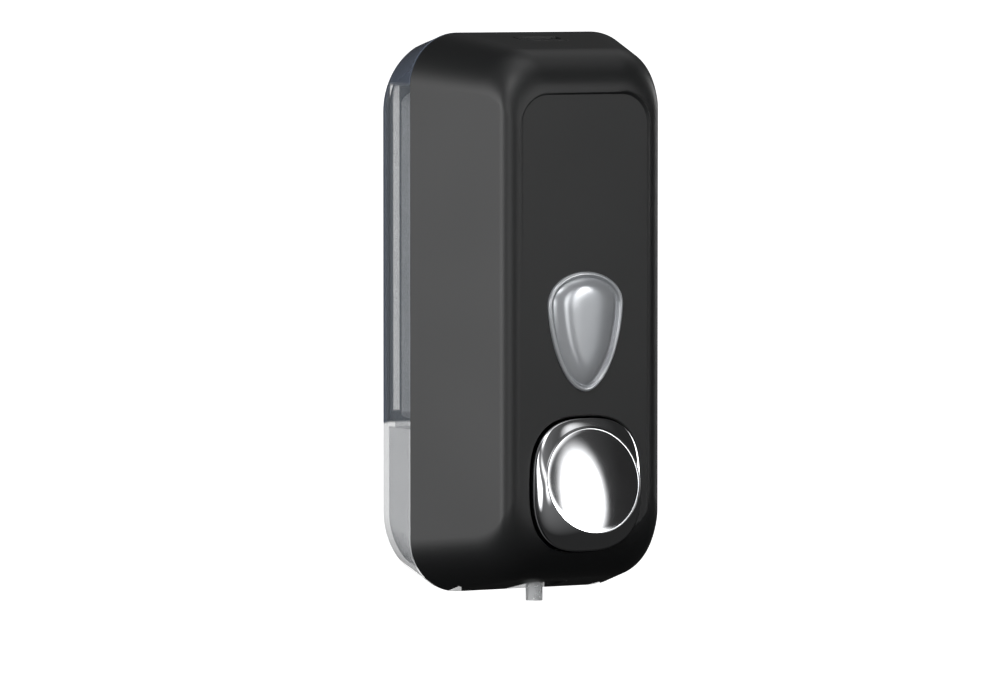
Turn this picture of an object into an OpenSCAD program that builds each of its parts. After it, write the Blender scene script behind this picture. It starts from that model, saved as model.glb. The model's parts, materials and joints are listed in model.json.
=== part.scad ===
// Wall-mounted push-button soap dispenser with a refillable tank.
// The wall is the plane Y = 0, the front looks along -Y and +Z is up.
// The origin is the middle of the wall-screw pattern, on the back face.
// "Depth" below always means the distance from the wall, so Y = -depth.

/* [Body] */
// Width of the body at the seam
body_w = 102; // [100:1:110]
// Height of the body at the seam
body_h = 216; // [214:1:230]
// Depth of the seam between the back shell and the cover
seam_d = 33; // [32:0.5:35]
// Depth of the flat front panel
front_d = 80; // [79:0.5:86]
// Corner radius of the body outline at the seam
seam_r = 21; // [16:1:24]

/* [Back shell] */
// Wall of the back shell
shell_wall = 2; // [1.6:0.1:2.4]
// Thickness of the plate that lies on the wall
plate_t = 2.5; // [2:0.1:3]
// How much narrower each side is at the wall than at the seam
back_inset_side = 6.5; // [4:0.5:7]
// How much lower the top edge is at the wall than at the seam
back_inset_top = 2.3; // [1:0.1:4]
// How much higher the bottom edge is at the wall than at the seam
back_inset_bottom = 0.5; // [0:0.1:2]
// Corner radius of the back outline
back_r = 29; // [24:1:32]
// Bevel round the edge that lies on the wall
back_bevel = 1; // [0.5:0.1:1.5]

/* [Cover] */
// Wall of the cover
cover_wall = 2.2; // [1.8:0.1:2.6]
// Gap between the back shell and the cover at the seam
seam_gap = 0.3; // [0.3:0.05:0.5]
// Distance from the body side to the edge of the front panel
side_inset = 22.5; // [21:0.5:23]
// Distance from the body top to the edge of the front panel
top_inset = 22.5; // [20:0.5:25]
// Distance from the body bottom to the edge of the front panel
bottom_inset = 27.5; // [25:0.5:30]
// Rounding between the side facets and the front panel
side_round = 7; // [5:0.5:9]
// Rounding between the top facet and the front panel
top_round = 17; // [14:1:20]
// Rounding between the bottom facet and the front panel
bottom_round = 22; // [18:1:24]
// Corner radius of the front panel
panel_r = 15; // [12:1:18]
// Depth of the shallow recess in the front panel
recess = 0.4; // [0.3:0.1:0.8]
// Corner radius of the recess
recess_r = 11; // [8:1:13]

/* [Wall screws] */
// Distance between the screws across the body
screw_dx = 52; // [48:1:56]
// Distance between the screws up the body
screw_dz = 130; // [126:1:134]
// Radius of a wall-screw hole
screw_hole_r = 2.6; // [2.2:0.1:3]

/* [Cover hinge] */
// Depth of the hinge axis behind the seam line
hinge_from_seam = 5; // [4.5:0.5:6]
// Height of the hinge axis above the bottom of the body
hinge_rise = 5.2; // [5:0.1:5.6]
// Radius of a hinge pin
hinge_pin_r = 1.5; // [1.2:0.1:1.6]
// Distance of each hinge from the middle
hinge_x = 31; // [29:1:34]
// Width of the ear on the back shell
hinge_ear_w = 5; // [4:0.5:6]
// Thickness of each lug on the cover
hinge_lug_w = 2.5; // [2:0.5:3]

/* [Lock] */
// Depth of the middle of the key slot
lock_d = 46; // [45:0.5:47]
// Length of the key slot
slot_l = 16; // [14:1:18]
// Width of the key slot
slot_w = 6; // [5.5:0.5:6.5]
// Height of the collar round the key slot
slot_lip = 0.6; // [0.4:0.1:1]
// Travel of the lock bolt
lock_travel = 6; // [5:0.5:6.5]
// Thickness of the lock bolt
bolt_t = 2.2; // [2:0.1:2.5]
// Width of the lock bolt
bolt_w = 5.2; // [4.8:0.1:5.5]
// Length of the lock bolt
bolt_l = 16; // [15:1:18]

/* [Window] */
// Width of the egg-shaped window
window_w = 33; // [31:1:35]
// Height of the window
window_h = 46; // [44:1:50]
// Distance from the window's top edge to its widest line
window_head = 12.5; // [11:0.5:14]
// Height of the window's top edge above the middle of the button
window_above_button = 81.6; // [78:0.2:86]
// How far the window's rim stands out of the panel
window_proud = 1.3; // [1:0.1:2]
// Width of the window's rim
window_rim = 2; // [1.5:0.1:2.5]
// How far the domed lens stands out of the panel
window_dome = 2.6; // [2:0.1:3.5]

/* [Button] */
// Width of the button's skirt
button_w = 46.8; // [46:0.2:48]
// Height of the button's skirt
button_h = 51; // [50:0.2:52]
// How full the corners of the button's outline are
button_power = 2.8; // [2.4:0.1:3.2]
// Height of the button's axis above the bottom of the body
button_rise = 43.4; // [43:0.2:46]
// How far the skirt's edge stands out of the panel
button_proud = 1.2; // [1:0.1:3]
// Length of the skirt, from its edge inwards
skirt_l = 9.5; // [9:0.1:9.8]
// Wall of the button
button_wall = 1.8; // [1.4:0.1:2]
// Radius of the slanted face
face_r = 20.7; // [19.5:0.1:21]
// Depth from the skirt's edge to the middle of the slanted face
face_out = 5.3; // [4.5:0.1:6]
// How far the slanted face lies above the button's axis
face_up = 1.9; // [1:0.1:3]
// Tilt of the slanted face, upwards
face_tilt = 10; // [6:1:12]
// Travel of the button
button_travel = 9; // [7:0.5:9]
// Gap round the button in its collar
button_gap = 0.7; // [0.5:0.1:0.9]
// Wall of the collar that guides the skirt
collar_wall = 2; // [1.6:0.1:2.2]

/* [Button guide] */
// Thickness of the guide plate
guide_t = 3; // [2.5:0.1:3.5]
// Radius of the carrier's stem
stem_r = 7; // [6:0.5:7.5]
// Wall of the hub round the stem
hub_wall = 3; // [2.5:0.5:3.5]
// Distance the hub reaches behind the guide plate
hub_back = 2.5; // [2:0.1:3]
// Sliding clearance of the stem in its hub
slide_gap = 0.08; // [0.05:0.01:0.1]
// Thickness of the carrier's disc
carrier_t = 2; // [1.8:0.1:2.5]
// Distance of the guide screws from the button's axis
guide_screw_ring = 30.4; // [30.2:0.1:31]
// Radius of the guide screws' thread
guide_screw_r = 1.25; // [1.1:0.05:1.5]
// Radius of the bosses for the guide screws
guide_boss_r = 3.1; // [2.8:0.1:3.2]
// Wire radius of the button spring
spring_wire_r = 0.5; // [0.4:0.05:0.55]
// Gap between the stem and the button spring
spring_gap = 0.8; // [0.6:0.1:1.2]
// Turns of the button spring
spring_turns = 4; // [3:1:4]
// How much the spring widens towards the guide plate
spring_cone = 4.4; // [4:0.1:4.8]

/* [Tank] */
// Wall of the tank
tank_wall = 1.6; // [1.4:0.1:2]
// Depth of the tank's back face
tank_back_d = 8.5; // [8:0.5:9]
// Gap between the tank and the back shell's inner side at the seam
tank_side_gap = 4.5; // [3:0.5:6]
// Gap between the tank's front face and the front panel's inner side
tank_front_gap = 7.8; // [7:0.1:9]
// Distance from the top of the body to the top of the tank
tank_top_gap = 22; // [21:0.5:24]
// Height of the tank's floor above the button's axis
tank_above_button = 22.6; // [22.4:0.1:24]
// How far the tank can be lifted off its hooks
tank_lift = 5; // [4:0.5:5.5]
// Height of the lip on each hook
hook_lip = 4; // [3:0.5:4.5]
// Thickness of the filling lid
lid_t = 1.6; // [1.4:0.1:2]

/* [Pump] */
// Depth of the tank's outlet neck
neck_d = 19; // [18.5:0.1:19.5]
// Radius of the neck
neck_r = 10; // [9:0.1:10.4]
// Bore of the neck
neck_bore_r = 7.5; // [6.5:0.1:8]
// Length of the neck below the tank
neck_l = 6; // [5:0.5:6]
// Gap between the outlet tube and the membrane
outlet_gap = 0.2; // [0.2:0.1:0.5]
// Radius of the pump chamber
chamber_r = 16; // [15:0.1:16]
// Length of the pump chamber
chamber_l = 12.5; // [12:0.1:13]
// Gap between the membrane's dome and the guide's hub
membrane_gap = 1.7; // [1.2:0.1:2]
// Wall of the pump body
pump_wall = 2.5; // [2:0.1:3]
// Height of the membrane's dome
dome_h = 9; // [9:0.1:9.5]
// Radius of the membrane's dome
dome_r = 12.5; // [12:0.1:13]
// Thickness of the membrane
membrane_t = 1.2; // [1:0.1:1.5]
// Radius of the nozzle's tip
tip_r = 3.3; // [3:0.1:3.6]
// How far the nozzle reaches below the body
tip_below = 4; // [2:0.5:6]

/* [Hidden] */

$fn = 96;
// Overlap of joined shapes and overshoot of cuts
eps = 0.01;
// Clearance between pieces that are fitted and stay put
fit = 0.05;
// Clearance between pieces on different bodies
clear = 0.5;
// Steps in each rounded corner and rings along the cover
corner_steps = 8;
window_steps = 80;
// Powers that draw out the window's lower half and round its tip
egg_taper = 1.7;
egg_tip = 0.53;
cover_rings = 12;

half_w = body_w / 2;
half_h = body_h / 2;
cover_back_d = seam_d + seam_gap;
panel_in_d = front_d - cover_wall;
seat_d = front_d - recess;

hinge_d = seam_d + hinge_from_seam;
hinge_z = -half_h + hinge_rise;

button_z = -half_h + button_rise;
edge_d = front_d + button_proud;
collar_grow = button_gap + collar_wall;
skirt_back_d = edge_d - skirt_l;
guide_front_d = skirt_back_d - button_travel - clear;
guide_back_d = guide_front_d - guide_t;
membrane_d = guide_back_d - hub_back - membrane_gap - dome_h;
chamber_back_d = membrane_d - chamber_l;
outlet_r = 4.8;
nozzle_d = membrane_d - outlet_r - outlet_gap;
dome_d = membrane_d + dome_h;
stem_end_d = dome_d + 0.3;

window_top_z = button_z + window_above_button;
window_wide_z = window_top_z - window_head;
window_foot = window_h - window_head;

tank_top_z = half_h - tank_top_gap;
tank_floor_z = button_z + tank_above_button;
tank_front_d = panel_in_d - tank_front_gap;

// ---------- shared shapes ----------

function arc(cx, cy, r, from, to, steps) =
    [for (i = [0:steps]) let (a = from + (to - from) * i / steps) [cx + r * cos(a), cy + r * sin(a)]];

// Rounded rectangle from -w to w and from low to high
function rounded_box(w, low, high, r_low, r_high) = concat(
    arc(w - r_high, high - r_high, r_high, 0, 90, corner_steps),
    arc(-w + r_high, high - r_high, r_high, 90, 180, corner_steps),
    arc(-w + r_low, low + r_low, r_low, 180, 270, corner_steps),
    arc(w - r_low, low + r_low, r_low, 270, 360, corner_steps));

// Egg outline of the window, round above its widest line and drawn out below, moved outwards by grow
function egg(grow) = let (w = window_w / 2 + grow, head = window_head + grow, foot = window_foot + grow)
    [for (i = [0:window_steps - 1]) let (a = 360 * i / window_steps, s = sin(a)) s >= 0
        ? [w * cos(a), window_wide_z + head * s]
        : [w * sign(cos(a)) * pow(1 - pow(-s, egg_taper), egg_tip), window_wide_z + foot * s]];

// Outline of the button and what fits round it: an oval with full corners, moved outwards by grow
function button_outline(grow, share = 0) = let (
    w = button_w / 2 * (1 - share) + face_r * share + grow,
    h = button_h / 2 * (1 - share) + face_r * share + grow,
    power = button_power * (1 - share) + 2 * share) [for (i = [0:71])
        let (c = cos(i * 5), s = sin(i * 5),
            r = pow(pow(abs(c / w), power) + pow(abs(s / h), power), -1 / power)) [r * c, r * s]];

// One corner of an outline, rounded
function round_corner(before, corner, after) = let (
    u = (before - corner) / norm(before - corner),
    v = (after - corner) / norm(after - corner),
    half = acos(u * v) / 2,
    centre = corner + (u + v) / norm(u + v) * tank_round / sin(half),
    start = atan2((corner + u * tank_round / tan(half) - centre)[1],
        (corner + u * tank_round / tan(half) - centre)[0]),
    turn = 180 - 2 * half) [for (i = [0:corner_steps])
        centre + tank_round * [cos(start + turn * i / corner_steps), sin(start + turn * i / corner_steps)]];

function at_depth(outline, d) = [for (p = outline) [p[0], -d, p[1]]];

// A solid through a list of rings with equal numbers of points
module loft(rings) {
    n = len(rings[0]);
    last = len(rings) - 1;
    sides = [for (k = [0:last - 1]) for (i = [0:n - 1])
        let (a = k * n + i, b = k * n + (i + 1) % n) each [[a, b + n, b], [a, a + n, b + n]]];
    polyhedron(
        points = [for (ring = rings) each ring],
        faces = concat([[for (i = [0:n - 1]) i]], sides, [[for (i = [n - 1:-1:0]) last * n + i]]),
        convexity = 6);
}

// A flat shape drawn in X and Z, from one depth to another
module slab(from_d, to_d) {
    translate([0, -from_d, 0]) rotate([90, 0, 0]) linear_extrude(to_d - from_d) children();
}

module rod_y(r, from_d, to_d, x = 0, z = 0) {
    translate([x, -from_d, z]) rotate([90, 0, 0]) cylinder(r = r, h = to_d - from_d);
}

module rod_x(r, from_x, to_x, d, z) {
    translate([from_x, -d, z]) rotate([0, 90, 0]) cylinder(r = r, h = to_x - from_x);
}

module rod_z(r, from_z, to_z, d, x = 0) {
    translate([x, -d, from_z]) cylinder(r = r, h = to_z - from_z);
}

module block(x, d, z) {
    translate([x[0], -d[1], z[0]]) cube([x[1] - x[0], d[1] - d[0], z[1] - z[0]]);
}

// A plate of the button's outline
module button_slab(grow, from_d, to_d) {
    slab(from_d, to_d) translate([0, button_z]) polygon(button_outline(grow));
}

// The same shape on both sides of the middle plane
module both_sides() {
    children();
    mirror([1, 0, 0]) children();
}

// ---------- outlines of the body ----------

// Lean of a facet whose rounding of radius r ends at the given inset
function lean(inset, r) = let (rise = front_d - r - seam_d)
    90 - atan2(rise, inset) - asin(r / norm([inset, rise]));

// How far a facet lies inside the seam outline at a depth, under a skin of thickness m
function inset_at(d, inset, r, m) = let (a = lean(inset, r), centre = front_d - r)
    d < centre + (r - m) * sin(a)
        ? (d - seam_d) * tan(a) + m / cos(a)
        : inset - sqrt(max(0, pow(r - m, 2) - pow(d - centre, 2)));

function cover_ring(d, m) = let (
    side = inset_at(d, side_inset, side_round, m),
    share = side / side_inset,
    r = seam_r + (panel_r - seam_r) * share - m / 2) at_depth(rounded_box(
        half_w - side,
        -half_h + inset_at(d, bottom_inset, bottom_round, m),
        half_h - inset_at(d, top_inset, top_round, m), r, r), d);

// Rings that lie closer together towards the front panel
function cover_skin(from_d, to_d, m) = [for (i = [0:cover_rings])
    cover_ring(to_d - (to_d - from_d) * pow(1 - i / cover_rings, 2), m)];

function shell_ring(d, m) = let (
    back = 1 - d / seam_d,
    r = seam_r + (back_r - seam_r) * back - m) at_depth(rounded_box(
        half_w - back_inset_side * back - m,
        -half_h + back_inset_bottom * back + m,
        half_h - back_inset_top * back - m, r, r), d);

// ---------- back shell ----------

shelf_t = 3;
shelf_z = tank_floor_z - 0.3;
shelf_front_d = 24;
shelf_x = 18;
ear_r = 2.5;
hinge_sweep_r = norm([hinge_from_seam - seam_gap, hinge_rise]) + clear;
hook_x = 30;
hook_w = 8;
hook_z = 56;
hook_t = 1.5;
keeper_z = half_h - 9.2;
keeper_t = 2.5;
keeper_depth = 9;
keeper_x = -14;
keeper_w = 4;
hook_reach = 5;
finger_d = lock_d - bolt_w / 2 - 3.3;

// Ear that carries one hinge pin, with its root on the shell's floor
module hinge_ear() {
    root_d = hinge_d - hinge_sweep_r - 1;
    ear = [hinge_x - hinge_ear_w / 2, hinge_x + hinge_ear_w / 2];
    rod_x(ear_r, ear[0], ear[1], hinge_d, hinge_z);
    block(ear, [root_d, hinge_d], [hinge_z - ear_r, hinge_z + ear_r]);
    intersection() {
        block(ear, [root_d - 14, root_d + eps], [-half_h, hinge_z + ear_r]);
        loft([shell_ring(1, shell_wall / 2), shell_ring(seam_d, shell_wall / 2)]);
    }
}

// Shelf under one side of the tank
module tank_shelf() {
    block([shelf_x, half_w - back_inset_side], [plate_t - eps, shelf_front_d], [shelf_z - shelf_t, shelf_z]);
}

// Upright lip that the tank's hook drops behind
module shell_hook() {
    x = [hook_x - hook_w / 2, hook_x + hook_w / 2];
    lip_d = plate_t + hook_t + 1.2;
    block(x, [plate_t - eps, lip_d + hook_t], [hook_z - hook_t * 2, hook_z]);
    block(x, [lip_d, lip_d + hook_t], [hook_z - eps, hook_z + hook_lip]);
}

// Arm with a side hook that the lock bolt grips
module lock_keeper() {
    tip_d = lock_d - bolt_w / 2 - 0.4;
    z = [keeper_z, keeper_z + keeper_t];
    block([keeper_x - keeper_w, keeper_x], [seam_d - keeper_depth, tip_d], z);
    block([keeper_x - keeper_w, keeper_x], [seam_d - keeper_depth, seam_d - 1],
        [keeper_z, half_h - shell_wall]);
    block([keeper_x - eps, keeper_x + hook_reach], [tip_d - 2.2, tip_d], z);
}

module back_shell() color("lightslategray", 0.5) {
    difference() {
        union() {
            difference() {
                loft([shell_ring(0, back_bevel), shell_ring(back_bevel, 0), shell_ring(seam_d, 0)]);
                loft([shell_ring(plate_t, shell_wall), shell_ring(seam_d + 1, shell_wall)]);
                intersection() {
                    rod_x(hinge_sweep_r, -half_w, half_w, hinge_d, hinge_z);
                    block([-half_w, half_w], [0, seam_d + 1], [-half_h - 1, hinge_z]);
                }
            }
            intersection() {
                both_sides() tank_shelf();
                loft([shell_ring(1, shell_wall / 2), shell_ring(seam_d, shell_wall / 2)]);
            }
            both_sides() hinge_ear();
            both_sides() shell_hook();
            lock_keeper();
        }
        for (x = [-1, 1], z = [-1, 1]) {
            rod_y(screw_hole_r, -1, plate_t + 1, x * screw_dx / 2, z * screw_dz / 2);
        }
        rod_x(hinge_pin_r + slide_gap, -half_w, half_w, hinge_d, hinge_z);
    }
}

// ---------- cover ----------

nozzle_notch_w = 18;
nozzle_notch_front = 11.3;
nozzle_notch_h = 8;
lug_r = 3.2;
pin_half_l = hinge_ear_w / 2 + clear + hinge_lug_w;
lock_plate_t = 1.5;
lock_boss_back = 4.4;
lock_plate_from_x = -9;
lock_plate_end = 7;
fence_half_l = 5;
lock_screw_l = 5;
lock_head_r = 2;
lock_head_h = 1.3;
lock_shift = 3;
lock_plate_z = keeper_z - 0.4 - lock_plate_t;
lock_boss_x = 11;
lock_boss_d = lock_d + bolt_w / 2 + lock_boss_back;
lock_boss_r = 2.6;
lock_screw_r = 1;

// Clevis lugs on both sides of one ear
module cover_lugs() {
    reach = hinge_ear_w / 2 + clear;
    for (side = [-1, 1]) {
        x = hinge_x + side * (reach + hinge_lug_w / 2);
        rod_x(lug_r, x - hinge_lug_w / 2, x + hinge_lug_w / 2, hinge_d, hinge_z);
        block([x - hinge_lug_w / 2, x + hinge_lug_w / 2], [hinge_d - lug_r, hinge_d + lug_r],
            [-half_h + cover_wall / 2, hinge_z]);
    }
}

// Slot in the cover's floor that lets one ear through as the cover turns
module ear_slot() {
    reach = hinge_ear_w / 2 + clear;
    block([hinge_x - reach, hinge_x + reach], [seam_d - 1, hinge_d + ear_r + 3 * clear],
        [-half_h - 1, hinge_z]);
}

module guide_bosses(r, from_d, to_d) {
    for (a = [45:90:315]) {
        rod_y(r, from_d, to_d, guide_screw_ring * cos(a), button_z + guide_screw_ring * sin(a));
    }
}

module lock_bosses(r, from_z, to_z) {
    for (x = [-1, 1]) {
        rod_z(r, from_z, to_z, lock_boss_d, x * lock_boss_x + lock_shift);
    }
}

// Raised collar round the key slot, following the cover's top
module slot_collar() {
    intersection() {
        block([-slot_l / 2 - 3, slot_l / 2 + 3], [lock_d - slot_w / 2 - 2, lock_d + slot_w / 2 + 2],
            [half_h - 2 * cover_wall - 2, half_h]);
        difference() {
            translate([0, 0, slot_lip]) loft(cover_skin(cover_back_d, front_d, 0));
            loft(cover_skin(cover_back_d - 1, panel_in_d, cover_wall / 2));
        }
    }
}

module front_cover() color([0.16, 0.16, 0.17]) {
    difference() {
        union() {
            difference() {
                loft(cover_skin(cover_back_d, front_d, 0));
                loft(cover_skin(cover_back_d - 1, panel_in_d, cover_wall));
            }
            intersection() {
                union() {
                    button_slab(collar_grow, guide_front_d, front_d);
                    guide_bosses(guide_boss_r, guide_front_d, front_d);
                    lock_bosses(lock_boss_r, lock_plate_z + lock_plate_t, half_h);
                    both_sides() cover_lugs();
                }
                loft(cover_skin(cover_back_d, front_d - cover_wall / 2, cover_wall / 2));
            }
            slot_collar();
        }
        slab(seat_d, front_d + 1) polygon(rounded_box(half_w - side_inset, -half_h + bottom_inset - 6,
            half_h - top_inset, recess_r, recess_r));
        slab(front_d - cover_wall - 1, front_d + 1) polygon(egg(fit - window_rim));
        button_slab(button_gap, guide_front_d - 1, front_d + 1);
        block([-slot_l / 2, slot_l / 2], [lock_d - slot_w / 2, lock_d + slot_w / 2],
            [lock_plate_z + 2, half_h + 1]);
        block([-nozzle_notch_w / 2, nozzle_notch_w / 2], [0, nozzle_d + nozzle_notch_front],
            [-half_h - 1, -half_h + nozzle_notch_h]);
        both_sides() ear_slot();
        both_sides() rod_x(hinge_pin_r + fit, hinge_x - pin_half_l - fit, hinge_x + pin_half_l + fit, hinge_d,
            hinge_z);
        guide_bosses(guide_screw_r + fit, guide_front_d - 1, guide_front_d + guide_pilot_l);
        lock_bosses(lock_screw_r + fit, lock_plate_z, lock_plate_z + lock_screw_l);
    }
}

module hinge_pins() color("silver") {
    both_sides() rod_x(hinge_pin_r, hinge_x - pin_half_l, hinge_x + pin_half_l, hinge_d, hinge_z);
}

// ---------- window ----------

// Clear lens with a raised rim, a plug through the panel and snap lugs behind it
module window_lens() color("aliceblue", 0.4) {
    snap_d = panel_in_d - 0.3;
    difference() {
        union() {
            slab(seat_d, front_d + window_proud) polygon(egg(0));
            slab(snap_d - 1.6, seat_d + eps) polygon(egg(-window_rim));
            intersection() {
                for (z = [window_wide_z, window_wide_z - window_foot * 0.6]) {
                    block([-half_w, half_w], [snap_d - 1.6, snap_d], [z - 3, z + 3]);
                }
                slab(snap_d - 1.6, snap_d) polygon(egg(1 - window_rim));
            }
        }
        slab(front_d + 0.3, front_d + window_proud + 1) polygon(egg(-window_rim));
        slab(snap_d - 2, front_d - 1) polygon(egg(-window_rim - 1.5));
    }
    hull() {
        slab(front_d, front_d + 0.4) polygon(egg(-window_rim - 0.5));
        slab(front_d + window_dome - 0.2, front_d + window_dome) polygon(egg(-window_rim - 6));
    }
}

// ---------- lock ----------

// Plate under the bolt, with a fence on each side of it
module lock_plate() color("dimgray") {
    x = [lock_plate_from_x, lock_boss_x + lock_plate_end];
    back = lock_d - bolt_w / 2;
    front = lock_d + bolt_w / 2;
    boss = lock_boss_d + lock_boss_r;
    z = [lock_plate_z, lock_plate_z + lock_plate_t];
    difference() {
        union() {
            block(x, [back - 2, boss], z);
            block([-lock_boss_x, x[0] + 1], [front + 1, boss], z);
            block([-fence_half_l, lock_boss_x + fence_half_l], [front + clear, front + 1.5],
                [z[0], z[1] + bolt_t]);
            block([fence_half_l, lock_boss_x + fence_half_l], [back - 2, back - clear],
                [z[0], z[1] + bolt_t]);
        }
        lock_bosses(lock_screw_r + fit, z[0] - 1, z[1] + 1);
    }
}

// Pan-headed screw that points along +Z
module small_screw(r, length, head_r, head_h) {
    cylinder(r = r, h = length);
    difference() {
        translate([0, 0, -head_h]) cylinder(r = head_r, h = head_h);
        for (a = [0, 90]) {
            rotate(a) translate([-head_r * 0.6, -0.3, -head_h - 1]) cube([head_r * 1.2, 0.6, 1.6]);
        }
    }
}

module lock_screws() color("silver") {
    for (x = [-1, 1]) {
        translate([x * lock_boss_x + lock_shift, -lock_boss_d, lock_plate_z])
            small_screw(lock_screw_r, lock_screw_l, lock_head_r, lock_head_h);
    }
}

// Bolt with two key sockets and a finger that reaches behind the keeper's hook
module lock_bolt() color("gold") {
    z = [keeper_z, keeper_z + bolt_t];
    finger_x = keeper_x + hook_reach + 3;
    difference() {
        union() {
            block([-bolt_l / 2 + 3, bolt_l / 2 + 3], [lock_d - bolt_w / 2, lock_d + bolt_w / 2], z);
            block([-2, 1], [finger_d - 2.6, lock_d - bolt_w / 2 + eps], z);
            block([finger_x, 1], [finger_d - 2.6, finger_d], z);
        }
        for (x = [0, 6]) {
            rod_z(1.1, z[0] - 1, z[1] + 1, lock_d, x);
        }
    }
}

// ---------- button ----------

// A ring of the button's outline at a depth, moved up and tilted up
function button_ring(grow, share, d, up, tilt) = [for (p = button_outline(grow, share))
    [p[0], -d + p[1] * sin(tilt), button_z + up + p[1] * cos(tilt)]];

dome_sweep = 50;
dome_ledge = 0.25;
dome_base = 0.5;

// Oblique dome from the skirt's edge to the slanted face
module button_dome(m, base_d) {
    steps = 6;
    loft(concat(
        [button_ring(-dome_ledge - m, 0, base_d, 0, 0)],
        [for (i = [0:steps]) let (share = i / steps,
            swell = sin(dome_sweep * share) / sin(dome_sweep),
            closing = (1 - cos(dome_sweep * share)) / (1 - cos(dome_sweep)))
            button_ring(-dome_ledge * (1 - closing) - m, closing,
                edge_d + dome_base - m + (face_out - dome_base) * swell, face_up * swell, face_tilt * share)]));
}

module push_button() color("gainsboro") {
    difference() {
        union() {
            button_slab(0, skirt_back_d, edge_d);
            button_dome(0, edge_d - button_wall / 2);
        }
        button_slab(-button_wall, skirt_back_d - 1, edge_d - button_wall);
        button_dome(button_wall, edge_d - button_wall - 1);
    }
}

carrier_front_d = edge_d - button_wall - 3.2;
carrier_back_d = carrier_front_d - carrier_t;

// Disc clipped inside the button, with the stem that presses the membrane
module button_carrier() color("whitesmoke") {
    rim = -button_wall - fit;
    difference() {
        union() {
            button_slab(rim, carrier_back_d, edge_d - button_wall);
            rod_y(stem_r, stem_end_d, carrier_back_d + eps, 0, button_z);
        }
        button_slab(rim - carrier_t, carrier_front_d, edge_d);
        rod_y(stem_r - 1.8, stem_end_d + 2, edge_d, 0, button_z);
    }
}

guide_screw_l = 10;
guide_pilot_l = guide_screw_l - guide_t + 2;
guide_hole_r = 5;
guide_hole_from = 18.5;

// Plate on the collar's end, with the hub that the stem slides in
module button_guide() color("dimgray") {
    difference() {
        union() {
            button_slab(collar_grow, guide_back_d, guide_front_d);
            guide_bosses(guide_boss_r, guide_back_d, guide_front_d);
            rod_y(stem_r + slide_gap + hub_wall, guide_back_d - hub_back, guide_front_d, 0, button_z);
        }
        rod_y(stem_r + slide_gap, guide_back_d - hub_back - 1, guide_front_d + 1, 0, button_z);
        guide_bosses(guide_screw_r + fit, guide_back_d - 1, guide_front_d + 1);
        for (a = [0:90:270]) {
            rod_y(guide_hole_r, guide_back_d - 1, guide_front_d + 1,
                guide_hole_from * cos(a), button_z + guide_hole_from * sin(a));
        }
    }
}

module guide_screws() color("silver") {
    for (a = [45:90:315]) {
        translate([guide_screw_ring * cos(a), -guide_back_d, button_z + guide_screw_ring * sin(a)])
            rotate([90, 0, 0]) small_screw(guide_screw_r, guide_screw_l, 2.3, 1.6);
    }
}

// Conical spring between the guide plate and the carrier, whose turns nest when it is pressed flat
module button_spring() color("silver") {
    sides = 6;
    per_turn = 20;
    coil_r = stem_r + spring_gap + spring_wire_r;
    low_d = guide_front_d + spring_wire_r;
    rise = carrier_back_d - guide_front_d - 2 * spring_wire_r;
    total = spring_turns * per_turn;
    loft([for (i = [0:total]) let (a = 360 * i / per_turn) [for (k = [0:sides - 1])
        let (b = -360 * k / sides, r = coil_r + spring_cone * (1 - i / total) + spring_wire_r * cos(b))
        [r * cos(a), -low_d - rise * i / total - spring_wire_r * sin(b), button_z + r * sin(a)]]]);
}

// ---------- tank ----------

tank_round = 4;
tank_head_r = 14;
tank_foot_r = 8;
slope_d = 20;
slope_h = 20;

// Plan of the tank, with its front corners cut to follow the cover's facets
module tank_plan(m) {
    back_w = half_w - back_inset_side * (1 - tank_back_d / seam_d) - shell_wall - tank_side_gap / 2 - m;
    seam_w = half_w - shell_wall - tank_side_gap - m;
    front_w = half_w - side_inset + 1.5 - m;
    p = [[back_w, -tank_back_d - m], [-back_w, -tank_back_d - m], [-seam_w, -seam_d],
        [-front_w, -tank_front_d + m], [front_w, -tank_front_d + m], [seam_w, -seam_d]];
    polygon([for (i = [0:5]) each round_corner(p[(i + 5) % 6], p[i], p[(i + 1) % 6])]);
}

// Side view of the tank, with the slope that clears the button's collar
module tank_side(m) {
    rotate([90, 0, 90]) translate([0, 0, -half_w]) linear_extrude(body_w) polygon([
        [-tank_back_d - m + 1, tank_floor_z + m],
        [-tank_front_d + slope_d + m / 2, tank_floor_z + m],
        [-tank_front_d + m - 1, tank_floor_z + slope_h + m / 2],
        [-tank_front_d + m - 1, tank_top_z - m],
        [-tank_back_d - m + 1, tank_top_z - m]]);
}

// Front view of the tank, with rounded corners
module tank_face(m) {
    slab(0, front_d) polygon(rounded_box(half_w - shell_wall - tank_side_gap - m,
        tank_floor_z + m, tank_top_z - m, tank_foot_r - m, tank_head_r - m));
}

mouth_x = 26;
mouth = [20, 56];

// Hook on the tank's back that hangs over the shell's lip
module tank_hook() {
    x = [hook_x - hook_w / 2 + 1, hook_x + hook_w / 2 - 1];
    lip_top = hook_z + hook_lip;
    lip_d = plate_t + 0.6;
    block(x, [lip_d, tank_back_d + tank_wall / 2], [lip_top + 0.3, lip_top + 2.3]);
    block(x, [lip_d, plate_t + hook_t + 0.7], [hook_z + 0.5, lip_top + 0.3 + eps]);
}

module tank() color("white", 0.6) {
    difference() {
        union() {
            intersection() {
                translate([0, 0, tank_floor_z]) linear_extrude(tank_top_z - tank_floor_z) tank_plan(0);
                tank_side(0);
                tank_face(0);
            }
            rod_z(neck_r, tank_floor_z - neck_l, tank_floor_z + eps, neck_d);
            both_sides() tank_hook();
        }
        intersection() {
            translate([0, 0, tank_floor_z]) linear_extrude(tank_top_z - tank_floor_z) tank_plan(tank_wall);
            tank_side(tank_wall);
            tank_face(tank_wall);
        }
        block([-mouth_x, mouth_x], mouth, [tank_top_z - tank_wall - 1, tank_top_z + 1]);
        rod_z(neck_bore_r, tank_floor_z - neck_l - 1, tank_floor_z + tank_wall + 1, neck_d);
    }
}

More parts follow.
